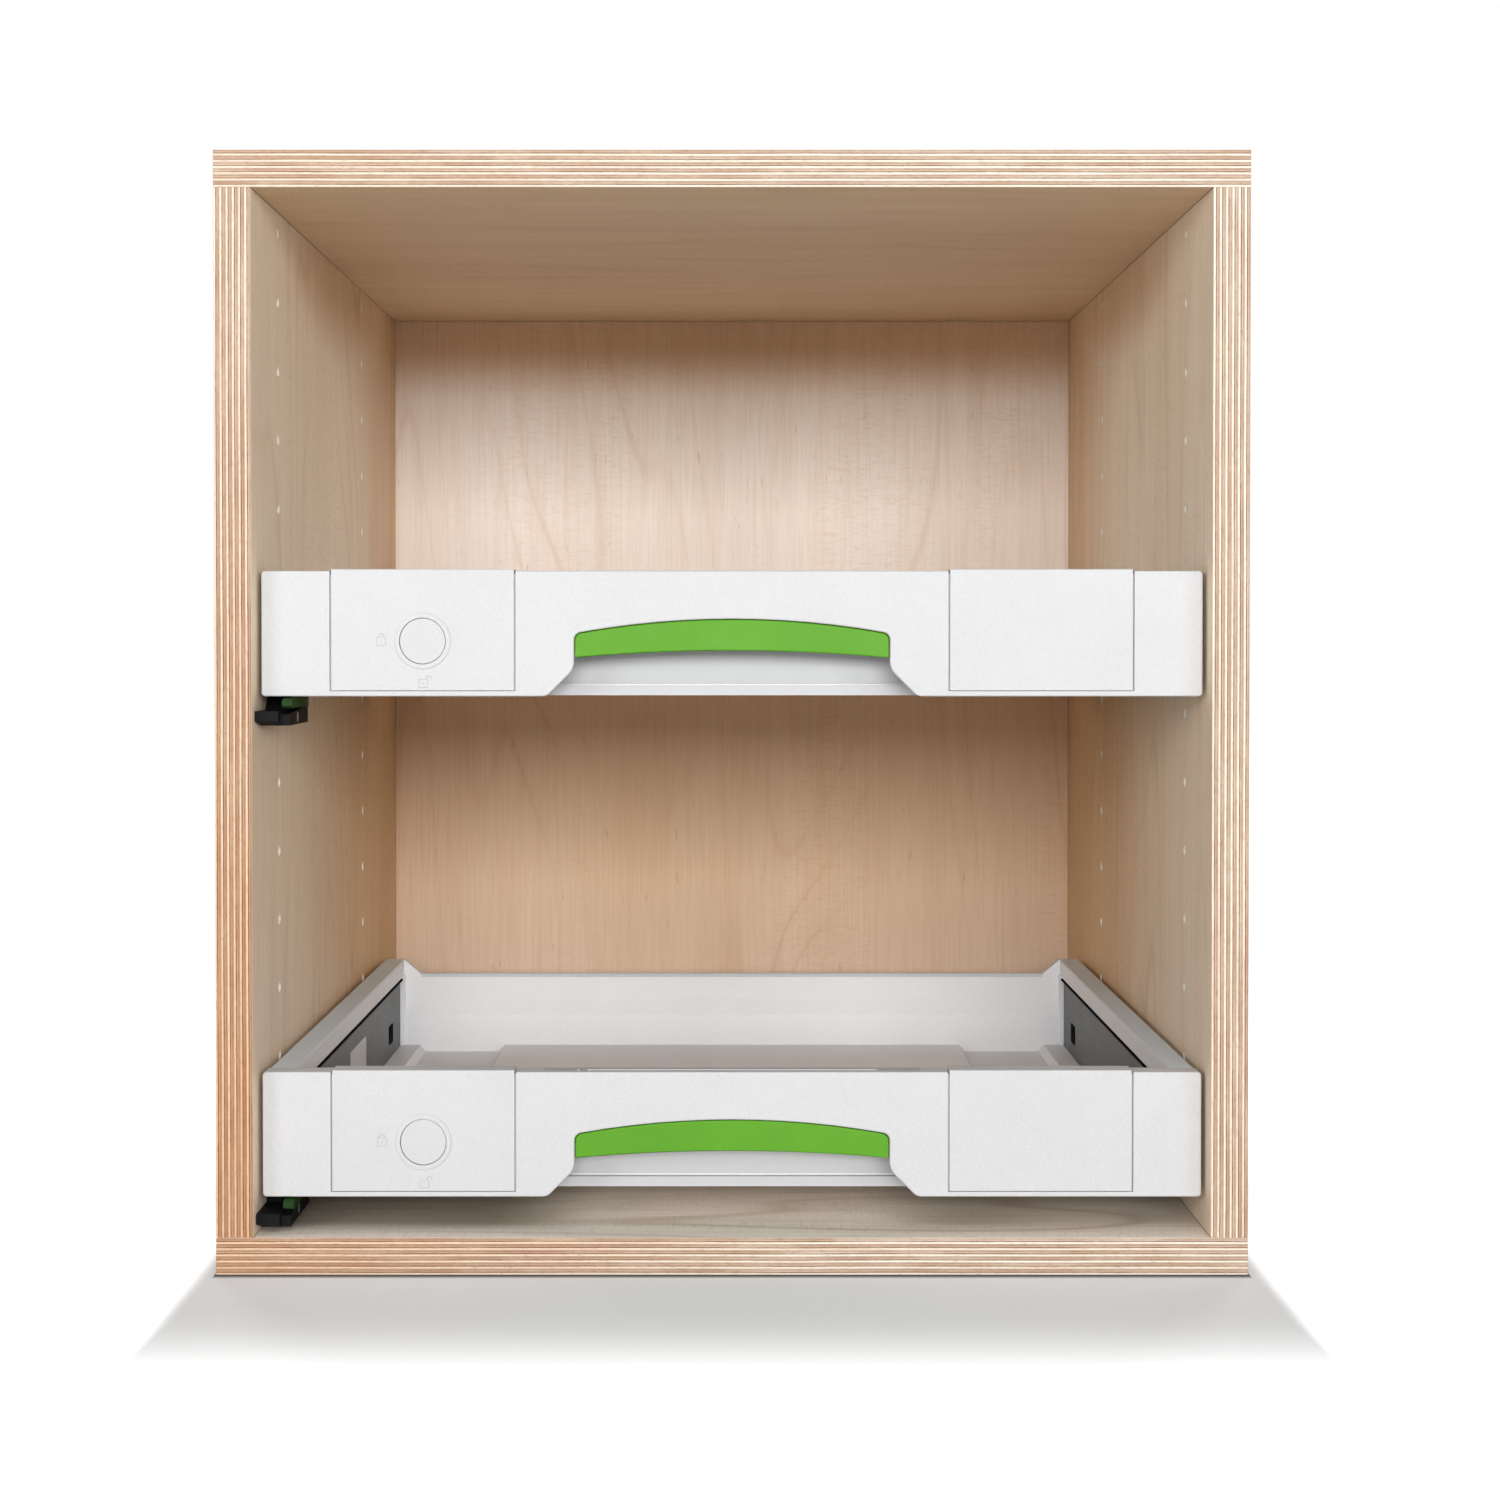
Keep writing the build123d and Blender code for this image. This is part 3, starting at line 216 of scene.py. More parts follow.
# cut edge: one bright band a pitch between tan ones, with a strong and a weak glue line
PLY_PITCH = 2.74 * MM
EDGE_WHITE = srgb(246, 236, 222)
EDGE_BRIGHT = srgb(230, 218, 202)
EDGE_TAN = srgb(188, 162, 139)
EDGE_LINE = srgb(110, 76, 52)
EDGE_RED = srgb(190, 142, 122)
EDGE_WARMTH = (0.80, 0.57, 0.40, 1)
EDGE_BANDS = [
    (0.00, EDGE_TAN), (0.06, EDGE_WHITE), (0.32, EDGE_WHITE), (0.40, EDGE_TAN), (1.0, EDGE_TAN),
]
GLUE_LINES = [
    (0.00, 0.75), (0.05, 0.0), (0.32, 0.0), (0.39, 1.0), (0.48, 1.0), (0.54, 0.0), (0.74, 0.0),
    (0.79, 0.5), (0.84, 0.5), (0.88, 0.0), (0.95, 0.0), (1.0, 0.75),
]
GLUE_SHARE = 0.9
PLY_SWELL = 0.2
PLY_SEED_STEP = 0.73
FLECK_STRETCH = 6.0
WARMTH_PATCHES = 0.5

# painted shade inside the cabinet: a warm painted shade under the top, towards the back of the sides and in
# the lower bay, and a dark painted shadow on the floor under the lower drawer
PAINTED_WARM_SHADE = (0.76, 0.585, 0.41, 1)
PAINTED_UNDER_DRAWER_SHADOW = (0.40, 0.385, 0.35, 1)
BAY_BLEND = 45 * MM
CEILING_START, CEILING_FULL = 54 * MM, 14 * MM
BACK_HEIGHTS, BACK_SHARES = (20 * MM, 200 * MM), (0.68, 1.0)
CORNER_DEPTHS, CORNER_SHARE = (-170 * MM, -20 * MM), 0.75
UPPER_SIDE_SHARE = 0.9
LOWER_SIDE_DEPTHS, LOWER_SIDE_SHARES = (-160 * MM, 80 * MM), (0.25, 1.0)
UNDER_START, UNDER_FULL = -4 * MM, 16 * MM
UNDER_RIGHT_SHARE = 0.4
UNDER_BAR_SOFT = 28 * MM
COVE_OVERLAP = 11.2 * MM


def along(tree, axes, thickness, grain, cross_scale, grain_scale, shift):
    """Coordinates stretched along the grain: across it, along it, and through the board."""
    cross = ({X, Y, Z} - {thickness, grain}).pop()
    return add(tree, "ShaderNodeCombineXYZ", {
        0: times(tree, axes[cross], cross_scale),
        1: times(tree, axes[grain], grain_scale),
        2: math_node(tree, "ADD", times(tree, axes[thickness], FIGURE_DEPTH), shift),
    }).outputs[0]


def veneer(tree, axes, thickness, grain, seed, tones, outer_side, flame):
    """Rotary cut birch: flame figure, fine fibres, short pores and a cross shimmer."""
    def stretched(cross_scale, grain_scale, shift=0.0):
        return along(tree, axes, thickness, grain, cross_scale, grain_scale, seed + shift)

    pale, warm, line = (
        mix_colour(tree, outer_side, inner, outer) for inner, outer in zip(tones, OUTER_TONES)
    )
    sheet = stretched(1.0, 0.17)
    figure = noise(tree, sheet, scale=8.0, detail=1.6, roughness=0.4, distortion=0.25)
    rings = math_node(tree, "PINGPONG", times(tree, figure, RING_COUNT), 1.0)
    where = ramp(tree, noise(tree, sheet, scale=13.0), [(0.38, 0.12), (0.62, 1.0)])
    lines = times(tree, ramp(tree, rings, RING_LINE), where)
    cloud = noise(tree, sheet, scale=6.0)
    fibres = noise(tree, stretched(1.0, 0.025, 3.0), scale=700.0, detail=4.0, roughness=0.65)
    streaks = noise(tree, stretched(1.0, 0.05, 4.0), scale=80.0, detail=3.0, roughness=0.6)
    pores = noise(tree, stretched(1.0, 0.2, 6.0), scale=360.0, detail=1.0)
    shimmer = noise(tree, stretched(0.22, 1.0, 8.0), scale=620.0, detail=3.0, roughness=0.7)
    shimmer_where = noise(tree, sheet, scale=16.0, detail=3.0, distortion=0.6)
    shimmer = times(
        tree, ramp(tree, shimmer, [(0.50, 0.0), (0.72, 1.0)]),
        ramp(tree, shimmer_where, [(0.42, 0.1), (0.66, 1.0)]),
    )
    # each layer's mask, share and colour, from the ground up
    layers = (
        (ramp(tree, cloud, [(0.32, 0.0), (0.70, 1.0)]), 1.0, warm),
        (ramp(tree, streaks, [(0.40, 0.0), (0.78, 1.0)]), 0.13, line),
        (lines, flame, line),
        (ramp(tree, fibres, [(0.42, 0.0), (0.80, 1.0)]), 0.26, line),
        (ramp(tree, pores, [(0.71, 0.0), (0.79, 1.0)]), 0.22, VENEER_PORE),
        (shimmer, 0.30, line),
    )
    face = pale
    for mask, share, colour in layers:
        face = mix_colour(tree, times(tree, mask, share), face, colour)
    relief = math_node(tree, "ADD", fibres, times(tree, lines, -0.5))
    return face, ramp(tree, streaks, VENEER_ROUGHNESS), relief


def ply_edge(tree, place, axes, thickness, start, warmth, seed):
    """Cut edge of the plies: bright long grain, tan end grain, and dark broken glue lines."""
    swell = noise(tree, place, scale=9.0, detail=3.0)
    depth = times(tree, minus(tree, axes[thickness], start), 1 / PLY_PITCH)
    layer = math_node(tree, "ADD", depth, times(tree, minus(tree, swell, 0.5), PLY_SWELL))
    phase = math_node(tree, "FRACT", layer)
    number = math_node(tree, "FLOOR", layer)
    bands = ramp(tree, phase, EDGE_BANDS)
    glue = ramp(tree, phase, GLUE_LINES)

    # every ply has its own noise
    stacked = [axes[X], axes[Y], axes[Z]]
    stacked[thickness] = math_node(tree, "ADD", times(tree, number, PLY_SEED_STEP), seed)
    layered = add(tree, "ShaderNodeCombineXYZ", dict(enumerate(stacked))).outputs[0]
    fine = [1.0, 1.0, 1.0]
    fine[thickness] = FLECK_STRETCH
    streaky = scaled(tree, place, fine)
    haze = noise(tree, layered, scale=19.0, detail=3.0, roughness=0.6)
    patches = noise(tree, layered, scale=11.0, detail=3.0, roughness=0.6)
    flecks = noise(tree, streaky, scale=260.0, detail=4.0, roughness=0.75)
    broken = noise(tree, layered, scale=60.0, detail=4.0, roughness=0.7)
    edge = bands
    for mask, share, colour in (
        (ramp(tree, haze, [(0.40, 0.0), (0.65, 1.0)]), 0.45, EDGE_BRIGHT),
        (ramp(tree, patches, [(0.48, 0.0), (0.68, 1.0)]), 0.22, EDGE_RED),
        (ramp(tree, flecks, [(0.50, 0.0), (0.70, 1.0)]), 0.38, EDGE_LINE),
        (times(tree, glue, ramp(tree, broken, [(0.34, 0.45), (0.58, 1.0)])), GLUE_SHARE, EDGE_LINE),
    ):
        edge = mix_colour(tree, times(tree, mask, share), edge, colour)

    axis, from_place, to_place, from_share, to_share = warmth
    share = step(tree, axes[axis], from_place, to_place, from_share, to_share, kind="LINEAR")
    patchy = times(tree, minus(tree, noise(tree, layered, scale=4.0), 0.5), WARMTH_PATCHES)
    share = math_node(tree, "ADD", share, patchy, clamp=True)
    relief = noise(tree, streaky, scale=700.0, detail=3.0)
    return mix_colour(tree, share, edge, EDGE_WARMTH, "MULTIPLY"), relief


def near_bar(tree, axes, soft=0.0):
    """One within the width of the hand opening, nought beside it, with a hard or a soft end."""
    bar_low, bar_high = box["upper_grip_bar"]
    off = apart(tree, axes[X], (bar_low[X] + bar_high[X]) / 2)
    end = (bar_high[X] - bar_low[X]) / 2 + COVE_OVERLAP
    if soft:
        return step(tree, off, end + soft, end - soft)
    return math_node(tree, "LESS_THAN", off, end)


def inner_painted_shade_mask(tree, axes, thickness):
    """Mask of the painted shade on the inner veneer: warm under the top, on the sides and in the lower bay,
    dark on the floor under the lower drawer.
    """
    low_bay = step(tree, axes[Z], BAY_SPLIT + BAY_BLEND, BAY_SPLIT)
    below_top = step(tree, axes[Z], CEILING - CEILING_START, CEILING - CEILING_FULL)
    if thickness == Y:
        rising = step(tree, axes[Z], *BACK_HEIGHTS, *BACK_SHARES)
        return math_node(tree, "MAXIMUM", below_top, times(tree, low_bay, rising))
    if thickness == X:
        corner = times(tree, below_top, step(tree, axes[Y], *CORNER_DEPTHS, 0.0, CORNER_SHARE))
        depth = step(tree, axes[Y], 0.0, INNER[Y][1], 0.0, UPPER_SIDE_SHARE)
        upper = math_node(tree, "MAXIMUM", depth, corner)
        lower = step(tree, axes[Y], *LOWER_SIDE_DEPTHS, *LOWER_SIDE_SHARES)
        return mix_value(tree, low_bay, upper, lower)
    front = box["lower_front"][0][Y]
    under = times(tree, low_bay, step(tree, axes[Y], front + UNDER_START, front + UNDER_FULL))
    under = times(tree, under, step(tree, axes[X], 0.0, INNER[X][1], 1.0, UNDER_RIGHT_SHARE))
    return times(tree, under, minus(tree, 1.0, near_bar(tree, axes, UNDER_BAR_SOFT)))


def birch_ply(name, thickness, grain, seed, tones, flame, warmth):
    """Birch plywood: veneer on the faces, striped plies on the edges, raw wood in the bores painted bright
    as caught light, and painted shade inside.
    """
    material, tree, shader = new_material(f"birch_{name}")
    low, high = (corner[thickness] for corner in box[name])
    place = object_place(tree)
    axes = split(tree, place)
    middle = (low + high) / 2
    outward = 1.0 if middle > (low_end[thickness] + high_end[thickness]) / 2 else -1.0
    outer_side = math_node(
        tree, "GREATER_THAN", times(tree, minus(tree, axes[thickness], middle), outward), 0.0,
    )
    inner_side = minus(tree, 1.0, outer_side)
    face, face_rough, face_relief = veneer(tree, axes, thickness, grain, seed, tones, outer_side, flame)
    # painted shade on the inner faces: warm painted shade on walls and ceiling, a dark painted shadow on the
    # floor
    painted_shade = times(tree, inner_painted_shade_mask(tree, axes, thickness), inner_side)
    face = mix_colour(tree, painted_shade, face, PAINTED_UNDER_DRAWER_SHADOW if thickness == Z else PAINTED_WARM_SHADE, "MULTIPLY")
    edge, edge_relief = ply_edge(tree, place, axes, thickness, low, warmth, seed)

    # painted shade along the inner corners where two boards meet, and raw wood in the shelf bores, painted
    # bright as light caught in them
    corner_gap = None
    inside = None
    for axis in sorted({X, Y, Z} - {thickness}):
        for plane in INNER[axis]:
            if plane is not None:
                gap = apart(tree, axes[axis], plane)
                corner_gap = gap if corner_gap is None else math_node(tree, "MINIMUM", corner_gap, gap)
        off = apart(tree, axes[axis], (low_end[axis] + high_end[axis]) / 2)
        reach = (high_end[axis] - low_end[axis]) / 2 - BORE_EDGE_MARGIN
        within = math_node(tree, "LESS_THAN", off, reach)
        inside = within if inside is None else times(tree, inside, within)
    painted_shade_line = step(tree, corner_gap, CORNER_SHADE_CORE, CORNER_SHADE_REACH, CORNER_SHADE_SHARE, 0.0, kind="LINEAR")
    face = mix_colour(tree, times(tree, painted_shade_line, inner_side), face, PAINTED_CORNER_SHADE)
    edge = mix_colour(tree, inside, edge, BORE_WOOD_PAINTED_BRIGHT)

    normal = true_normal(tree)
    is_face = math_node(tree, "GREATER_THAN", math_node(tree, "ABSOLUTE", normal[thickness]), FACE_NORMAL)
    tree.links.new(mix_colour(tree, is_face, edge, face), shader.inputs["Base Color"])
    tree.links.new(mix_colour(tree, is_face, EDGE_ROUGHNESS, face_rough), shader.inputs["Roughness"])
    shader.inputs["Specular IOR Level"].default_value = PLY_SPECULAR
    relief = mix_colour(tree, is_face, edge_relief, face_relief)
    set_bump(tree, shader, relief, PLY_BUMP, PLY_BUMP_DISTANCE)
    return material


# Plastics and metals

PLASTIC_GRAIN = 900.0
PLASTIC_BUMP = 0.6
PIT_SHARE, PIT_SHADE = 0.16, 0.72
CLOUD_STOPS = [(0.3, 0.0), (0.7, 1.0)]
BRUSH_STRETCH = 0.03
BRUSH_DISTANCE = 0.05 * MM


def moulded(name, colour, other, rough, relief=0.3, specular=0.5, shades=()):
    """Moulded plastic with a fine leather texture and a faint cloud in its colour and gloss.

    relief is the texture's height in mm. shades are mask makers and the painted shade tones of their places.
    """
    material, tree, shader = new_material(name)
    place = object_place(tree)
    cloud = noise(tree, place, scale=22.0, detail=3.0)
    grain = noise(tree, place, scale=PLASTIC_GRAIN, detail=3.0, roughness=0.62, distortion=0.4)
    tone = mix_colour(tree, ramp(tree, cloud, CLOUD_STOPS), colour, other)
    for mask, painted_shade in shades:
        tone = mix_colour(tree, mask(tree, place), tone, painted_shade)
    pits = times(tree, ramp(tree, grain, [(0.32, 1.0), (0.55, 0.0)]), PIT_SHARE)
    pit_tone = tuple(c * PIT_SHADE for c in colour[:3]) + (1,)
    tree.links.new(mix_colour(tree, pits, tone, pit_tone), shader.inputs["Base Color"])
    low, high = rough
    gloss = noise(tree, place, scale=60.0, detail=4.0)
    tree.links.new(ramp(tree, gloss, [(0.3, low), (0.7, high)]), shader.inputs["Roughness"])
    shader.inputs["Specular IOR Level"].default_value = specular
    set_bump(tree, shader, grain, PLASTIC_BUMP, relief * MM)
    return material


def metal(name, colour, other, rough, metallic=1.0, strength=0.12):
    """Sheet metal with a faint rolled direction along the depth."""
    material, tree, shader = new_material(name)
    place = object_place(tree)
    rolled = scaled(tree, place, (1.0, BRUSH_STRETCH, 1.0))
    lines = noise(tree, rolled, scale=900.0, detail=4.0, roughness=0.7)
    cloud = noise(tree, place, scale=40.0, detail=4.0, roughness=0.6)
    tone = mix_colour(tree, ramp(tree, cloud, CLOUD_STOPS), colour, other)
    tree.links.new(tone, shader.inputs["Base Color"])
    low, high = rough
    tree.links.new(ramp(tree, lines, [(0.25, low), (0.75, high)]), shader.inputs["Roughness"])
    shader.inputs["Metallic"].default_value = metallic
    set_bump(tree, shader, lines, strength, BRUSH_DISTANCE)
    return material


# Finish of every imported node

# depths behind the front's face, and heights above its lower edge
RECESS_START, RECESS_FULL = 1.5 * MM, 4 * MM
COVE_DEPTH = 21.2 * MM
RIM_LEVEL = 44 * MM
REAR_BAND = 12 * MM
UPWARD, SLOPING = 0.5, 0.12


def dress(name, material):
    slots = frame["nodes"][name].data.materials
    slots.clear()
    slots.append(material)


def painted_recess_shade(tree, place):
    """Mask of the painted shade in the front's hand recess, which is set back from the face."""
    axes = split(tree, place)
    set_back = step(tree, axes[Y], FRONT_FACE + RECESS_START, FRONT_FACE + RECESS_FULL)
    return times(tree, near_bar(tree, axes), set_back)


def painted_cove_shade(tree, place):
    """Mask of the painted shade in the tray's finger cove, behind the hand opening."""
    axes = split(tree, place)
    in_front = math_node(tree, "LESS_THAN", axes[Y], FRONT_FACE + COVE_DEPTH)
    return times(tree, near_bar(tree, axes), in_front)


def painted_rim_shade(base, rear):
    """Mask maker for painted shade on the upward faces of a tray's rim and the sloping band along its rear
    wall.
    """
    def mask(tree, place):
        def above(value, limit):
            return math_node(tree, "GREATER_THAN", value, limit)
        axes = split(tree, place)
        normal = true_normal(tree)
        band = times(tree, above(normal[Z], SLOPING), above(axes[Y], rear - REAR_BAND))
        either = math_node(tree, "MAXIMUM", above(normal[Z], UPWARD), band)
        return times(tree, either, above(axes[Z], base + RIM_LEVEL))
    return mask


# thickness axis, grain axis, seed, tones, flame strength, and the edge's warmth along an axis
panels = {
    "top_panel": (Z, X, 1.0, TOP_TONES, 0.20, (X, low_end[X], 0.0, 0.40, 0.12)),
    "bottom_panel": (Z, X, 7.0, BOTTOM_TONES, 0.40, (X, low_end[X], 0.05, 0.85, 0.15)),
    "left_side": (X, Z, 13.0, SIDE_TONES, 0.32, (Z, 0.05, high_end[Z], 1.0, 0.25)),
    "right_side": (X, Z, 19.0, SIDE_TONES, 0.32, (Z, 0.0, high_end[Z], 0.35, 0.08)),
    "back_panel": (Y, Z, 26.0, BACK_TONES, 0.28, (Z, 0.0, high_end[Z], 0.5, 0.2)),
}
for name, looks in panels.items():
    dress(name, birch_ply(name, *looks))

beech = moulded("beech_dowel", srgb(205, 165, 120), srgb(190, 148, 104), (0.55, 0.7))
for name in ("carcass_dowels", "back_dowels"):
    dress(name, beech)

# the front's whites below are set darker than the tray's white: painted shade that offsets the strong light
# on the front
white = moulded(
    "white_plastic", srgb(205, 205, 206), srgb(202, 202, 203), (0.52, 0.6), 0.42, specular=0.35,
    # painted shade in the hand recess
    shades=[(painted_recess_shade, srgb(184, 184, 186))],
)
panel_white = moulded(
    "white_panel", srgb(204, 204, 205), srgb(201, 201, 202), (0.5, 0.58), 0.42, specular=0.35,
)
disc_white = moulded(
    "pale_disc", srgb(202, 202, 203), srgb(199, 199, 200), (0.5, 0.58), 0.36, specular=0.35,
)
sign_white = moulded("white_sign", srgb(184, 184, 185), srgb(180, 180, 181), (0.5, 0.58), 0.1)
label_paper = moulded("label_paper", srgb(205, 206, 206), srgb(196, 197, 197), (0.5, 0.6), 0.1)
green = moulded("green_plastic", srgb(90, 154, 34), srgb(85, 149, 30), (0.45, 0.52), 0.16, specular=0.22)
# a darker copy of the green plastic: painted shade for the lever in the front's shadow
shaded_lever_green = moulded("shaded_lever_green", srgb(30, 60, 19), srgb(26, 54, 16), (0.45, 0.55), 0.16, specular=0.12)
black = moulded("black_plastic", srgb(22, 21, 23), srgb(18, 17, 19), (0.5, 0.6), 0.2, specular=0.08)
# flat black for the painted shadows in the plates' slots and under their rims
painted_shadow_black = moulded("painted_shadow_black", srgb(12, 12, 13), srgb(9, 9, 10), (0.85, 0.95), 0.05, specular=0.03)
plate_steel = metal("plate_steel", srgb(108, 110, 110), srgb(100, 102, 103), (0.42, 0.55), 0.65)
zinc = metal("bright_zinc", srgb(188, 191, 195), srgb(176, 180, 186), (0.26, 0.4))
cage_metal = metal("cage_steel", srgb(160, 160, 163), srgb(146, 147, 150), (0.35, 0.5))
ball_metal = metal("ball_steel", srgb(206, 207, 210), srgb(198, 200, 204), (0.1, 0.18), 1.0, 0.02)

finishes = {
    "front": white, "lock_panel": panel_white, "label_panel": panel_white,
    "lock_disc": disc_white, "grip_bar": green, "release_lever": shaded_lever_green, "catch_housing": black,
    "left_side_plate": plate_steel, "right_side_plate": plate_steel,
    "left_cabinet_rail": zinc, "right_cabinet_rail": zinc, "left_middle_rail": zinc,
    "right_middle_rail": zinc, "left_drawer_rail": zinc, "right_drawer_rail": zinc,
    "lock_cam": zinc, "lock_bolt": zinc, "front_screws": zinc, "rail_screws": zinc,
    "lever_pin": ball_metal, "outer_cages": cage_metal, "inner_cages": cage_metal,
    "outer_balls": ball_metal, "inner_balls": ball_metal,
}


def dress_drawer(drawer):
    for node, material in finishes.items():
        dress(f"{drawer}_{node}", material)
    # painted shade on the upward faces of the rim
    rim = painted_rim_shade(box[f"{drawer}_front"][0][Z], box[f"{drawer}_tray"][1][Y])
    dress(f"{drawer}_tray", moulded(
        f"{drawer}_tray_white", srgb(231, 231, 232), srgb(228, 228, 229), (0.45, 0.55), 0.2, specular=0.4,
        # painted shade on the rim's upward faces and in the finger cove
        shades=[(rim, srgb(208, 218, 225)), (painted_cove_shade, srgb(192, 192, 194))],
    ))


# Small pieces: padlock signs on the lock panel, and on the steel plates the blank label, dark patches that
# paint the shadow in the plates' slots and dark lines that paint the shadow gap under the rims

SIGN_LINE = 0.22 * MM
SHACKLE_RADIUS = 0.3
SHACKLE_STEP = 30
DOT_ENDS = (0.42, 0.58)
# the middle of the foot from the disc's centre, width, height, and the shackle's shift and lift
SIGNS = {
    "closed": ((-18.5 * MM, -1.9 * MM), 3.9 * MM, 3.7 * MM, 0.0, 0.5 * MM),
    "open": ((0.3 * MM, -20.6 * MM), 4.0 * MM, 3.5 * MM, 2.4 * MM, 0.4 * MM),
}
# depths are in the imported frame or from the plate's ends, and levels from the front's lower edge
PLATE_SHEET = 1.5 * MM
LABEL_DEPTHS, LABEL_HEIGHTS = (-43 * MM, 3 * MM), (9 * MM, 34 * MM)
LABEL_SHEET, LABEL_CORNER = 0.15 * MM, 1.5 * MM
# dark patches that paint the shadow seen in the plates' slots
SLOT_SHADOW_FROM_REAR, SLOT_SHADOW_LEVEL = 31 * MM, 19 * MM
SLOT_SHADOW_DEPTHS, SLOT_SHADOW_HALF_HEIGHT = (-11 * MM, 2 * MM), 5.4 * MM
SLOT_SHADOW_PROUD, SLOT_SHADOW_CORNER = 0.35 * MM, 1.4 * MM
# dark lines that paint the shadow gap under the plates' rims
SHADOW_LINE_INSET, SHADOW_LINE_LEVEL, SHADOW_LINE_RADIUS = 3.0 * MM, 45.5 * MM, 0.75 * MM
SHADOW_LINE_FRONT_END, SHADOW_LINE_REAR_END = 1.5 * MM, 3 * MM
CORNER_PARTS = 4


def raised_lines(name, strokes, radius, body, material):
    """Round raised lines, half sunk in the face that their points lie on."""
    curve = bpy.data.curves.new(name, "CURVE")
    curve.dimensions = "3D"
    curve.bevel_depth = radius
    curve.bevel_resolution = 2
    curve.use_fill_caps = True
    for points, closed in strokes:
        spline = curve.splines.new("POLY")
        spline.points.add(len(points) - 1)
        for point, place in zip(spline.points, points):
            point.co = (*place, 1)
        spline.use_cyclic_u = closed
    piece = bpy.data.objects.new(name, curve)
    bpy.context.scene.collection.objects.link(piece)
    curve.materials.append(material)
    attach(piece, body)


def padlock(name, x, y, z, width, height, shackle_shift, lift, body):
    """Padlock sign on the face at y: outlined body with a dot, and a shackle above it."""
    left, right = x - width / 2, x + width / 2
    outline = [(left, z), (right, z), (right, z + height), (left, z + height)]
    radius = width * SHACKLE_RADIUS
    middle = x + shackle_shift
    foot = z + height
    arch = [(middle - radius, foot), (middle - radius, foot + lift)]
    for degrees in range(SHACKLE_STEP, 180, SHACKLE_STEP):
        angle = math.radians(degrees)
        arch.append((middle - radius * math.cos(angle), foot + lift + radius * math.sin(angle)))
    arch.append((middle + radius, foot + lift))
    if shackle_shift == 0:
        arch.append((middle + radius, foot))
    dot = [(x, z + height * end) for end in DOT_ENDS]
    strokes = [
        ([(px, y, pz) for px, pz in points], closed)
        for points, closed in ((outline, True), (arch, False), (dot, False))
    ]
    raised_lines(name, strokes, SIGN_LINE, body, sign_white)


def thin_patch(name, x, thickness, y_range, z_range, corner, body, material):
    """Thin patch with rounded corners, from the plane x, by its thickness to either side."""
    mesh = bpy.data.meshes.new(name)
    form = bmesh.new()
    outline = []
    for turn, (cy, cz) in enumerate((
        (y_range[1] - corner, z_range[1] - corner), (y_range[0] + corner, z_range[1] - corner),
        (y_range[0] + corner, z_range[0] + corner), (y_range[1] - corner, z_range[0] + corner),
    )):
        for part in range(CORNER_PARTS + 1):
            angle = math.radians(90 * (turn + part / CORNER_PARTS))
            outline.append((cy + corner * math.cos(angle), cz + corner * math.sin(angle)))
    back = [form.verts.new((x, y, z)) for y, z in outline]
    face = [form.verts.new((x + thickness, y, z)) for y, z in outline]
    form.faces.new(face)
    form.faces.new(list(reversed(back)))
    for index in range(len(outline)):
        after = (index + 1) % len(outline)
        form.faces.new((back[index], back[after], face[after], face[index]))
    bmesh.ops.recalc_face_normals(form, faces=form.faces)
    form.to_mesh(mesh)
    form.free()
    mesh.materials.append(material)
    piece = bpy.data.objects.new(name, mesh)
    bpy.context.scene.collection.objects.link(piece)
    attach(piece, body)


def add_small_pieces(drawer):
    body = f"{drawer}_drawer"
    base = box[f"{drawer}_front"][0][Z]
    face_y = box[f"{drawer}_front"][0][Y]
    disc_x, _, disc_z = ((low + high) / 2 for low, high in zip(*box[f"{drawer}_lock_disc"]))
    for sign, ((across, up), *sizes) in SIGNS.items():
        padlock(f"{drawer}_sign_{sign}", disc_x + across, face_y, disc_z + up, *sizes, body)
    thin_patch(
        f"{drawer}_label", box[f"{drawer}_left_side_plate"][0][X] + PLATE_SHEET, LABEL_SHEET,
        LABEL_DEPTHS, [base + height for height in LABEL_HEIGHTS], LABEL_CORNER,
        body, label_paper,
    )
    for side, inward in (("left", 1), ("right", -1)):
        plate_low, plate_high = box[f"{drawer}_{side}_side_plate"]
        outer = plate_low[X] if side == "left" else plate_high[X]
        slot_y = plate_high[Y] - SLOT_SHADOW_FROM_REAR
        slot_z = base + SLOT_SHADOW_LEVEL
        # painted shadow in the plate's slot
        thin_patch(
            f"{drawer}_{side}_painted_slot_shadow", outer + inward * PLATE_SHEET, inward * SLOT_SHADOW_PROUD,
            [slot_y + depth for depth in SLOT_SHADOW_DEPTHS], (slot_z - SLOT_SHADOW_HALF_HEIGHT, slot_z + SLOT_SHADOW_HALF_HEIGHT),
            SLOT_SHADOW_CORNER, body, painted_shadow_black,
        )
        # painted shadow gap under the rim
        painted_shade_line = [
            (outer + inward * SHADOW_LINE_INSET, y, base + SHADOW_LINE_LEVEL)
            for y in (plate_low[Y] + SHADOW_LINE_FRONT_END, plate_high[Y] - SHADOW_LINE_REAR_END)
        ]
        raised_lines(
            f"{drawer}_{side}_plate_shadow_line", [(painted_shade_line, False)], SHADOW_LINE_RADIUS, body, painted_shadow_black,
        )


for drawer in ("upper", "lower"):
    dress_drawer(drawer)
    add_small_pieces(drawer)


# Floor, world, lights and camera

FLOOR_SIZE = 30.0
FLOOR_GREY = [(0.3, 0.60), (0.7, 0.61)]
# near the unit the glow is lower, which paints shade in front of and beside it, on top of the lamps' shadow
FLOOR_GLOW = 0.2
GLOW_START = 60 * MM
GLOW_FULL = 190 * MM
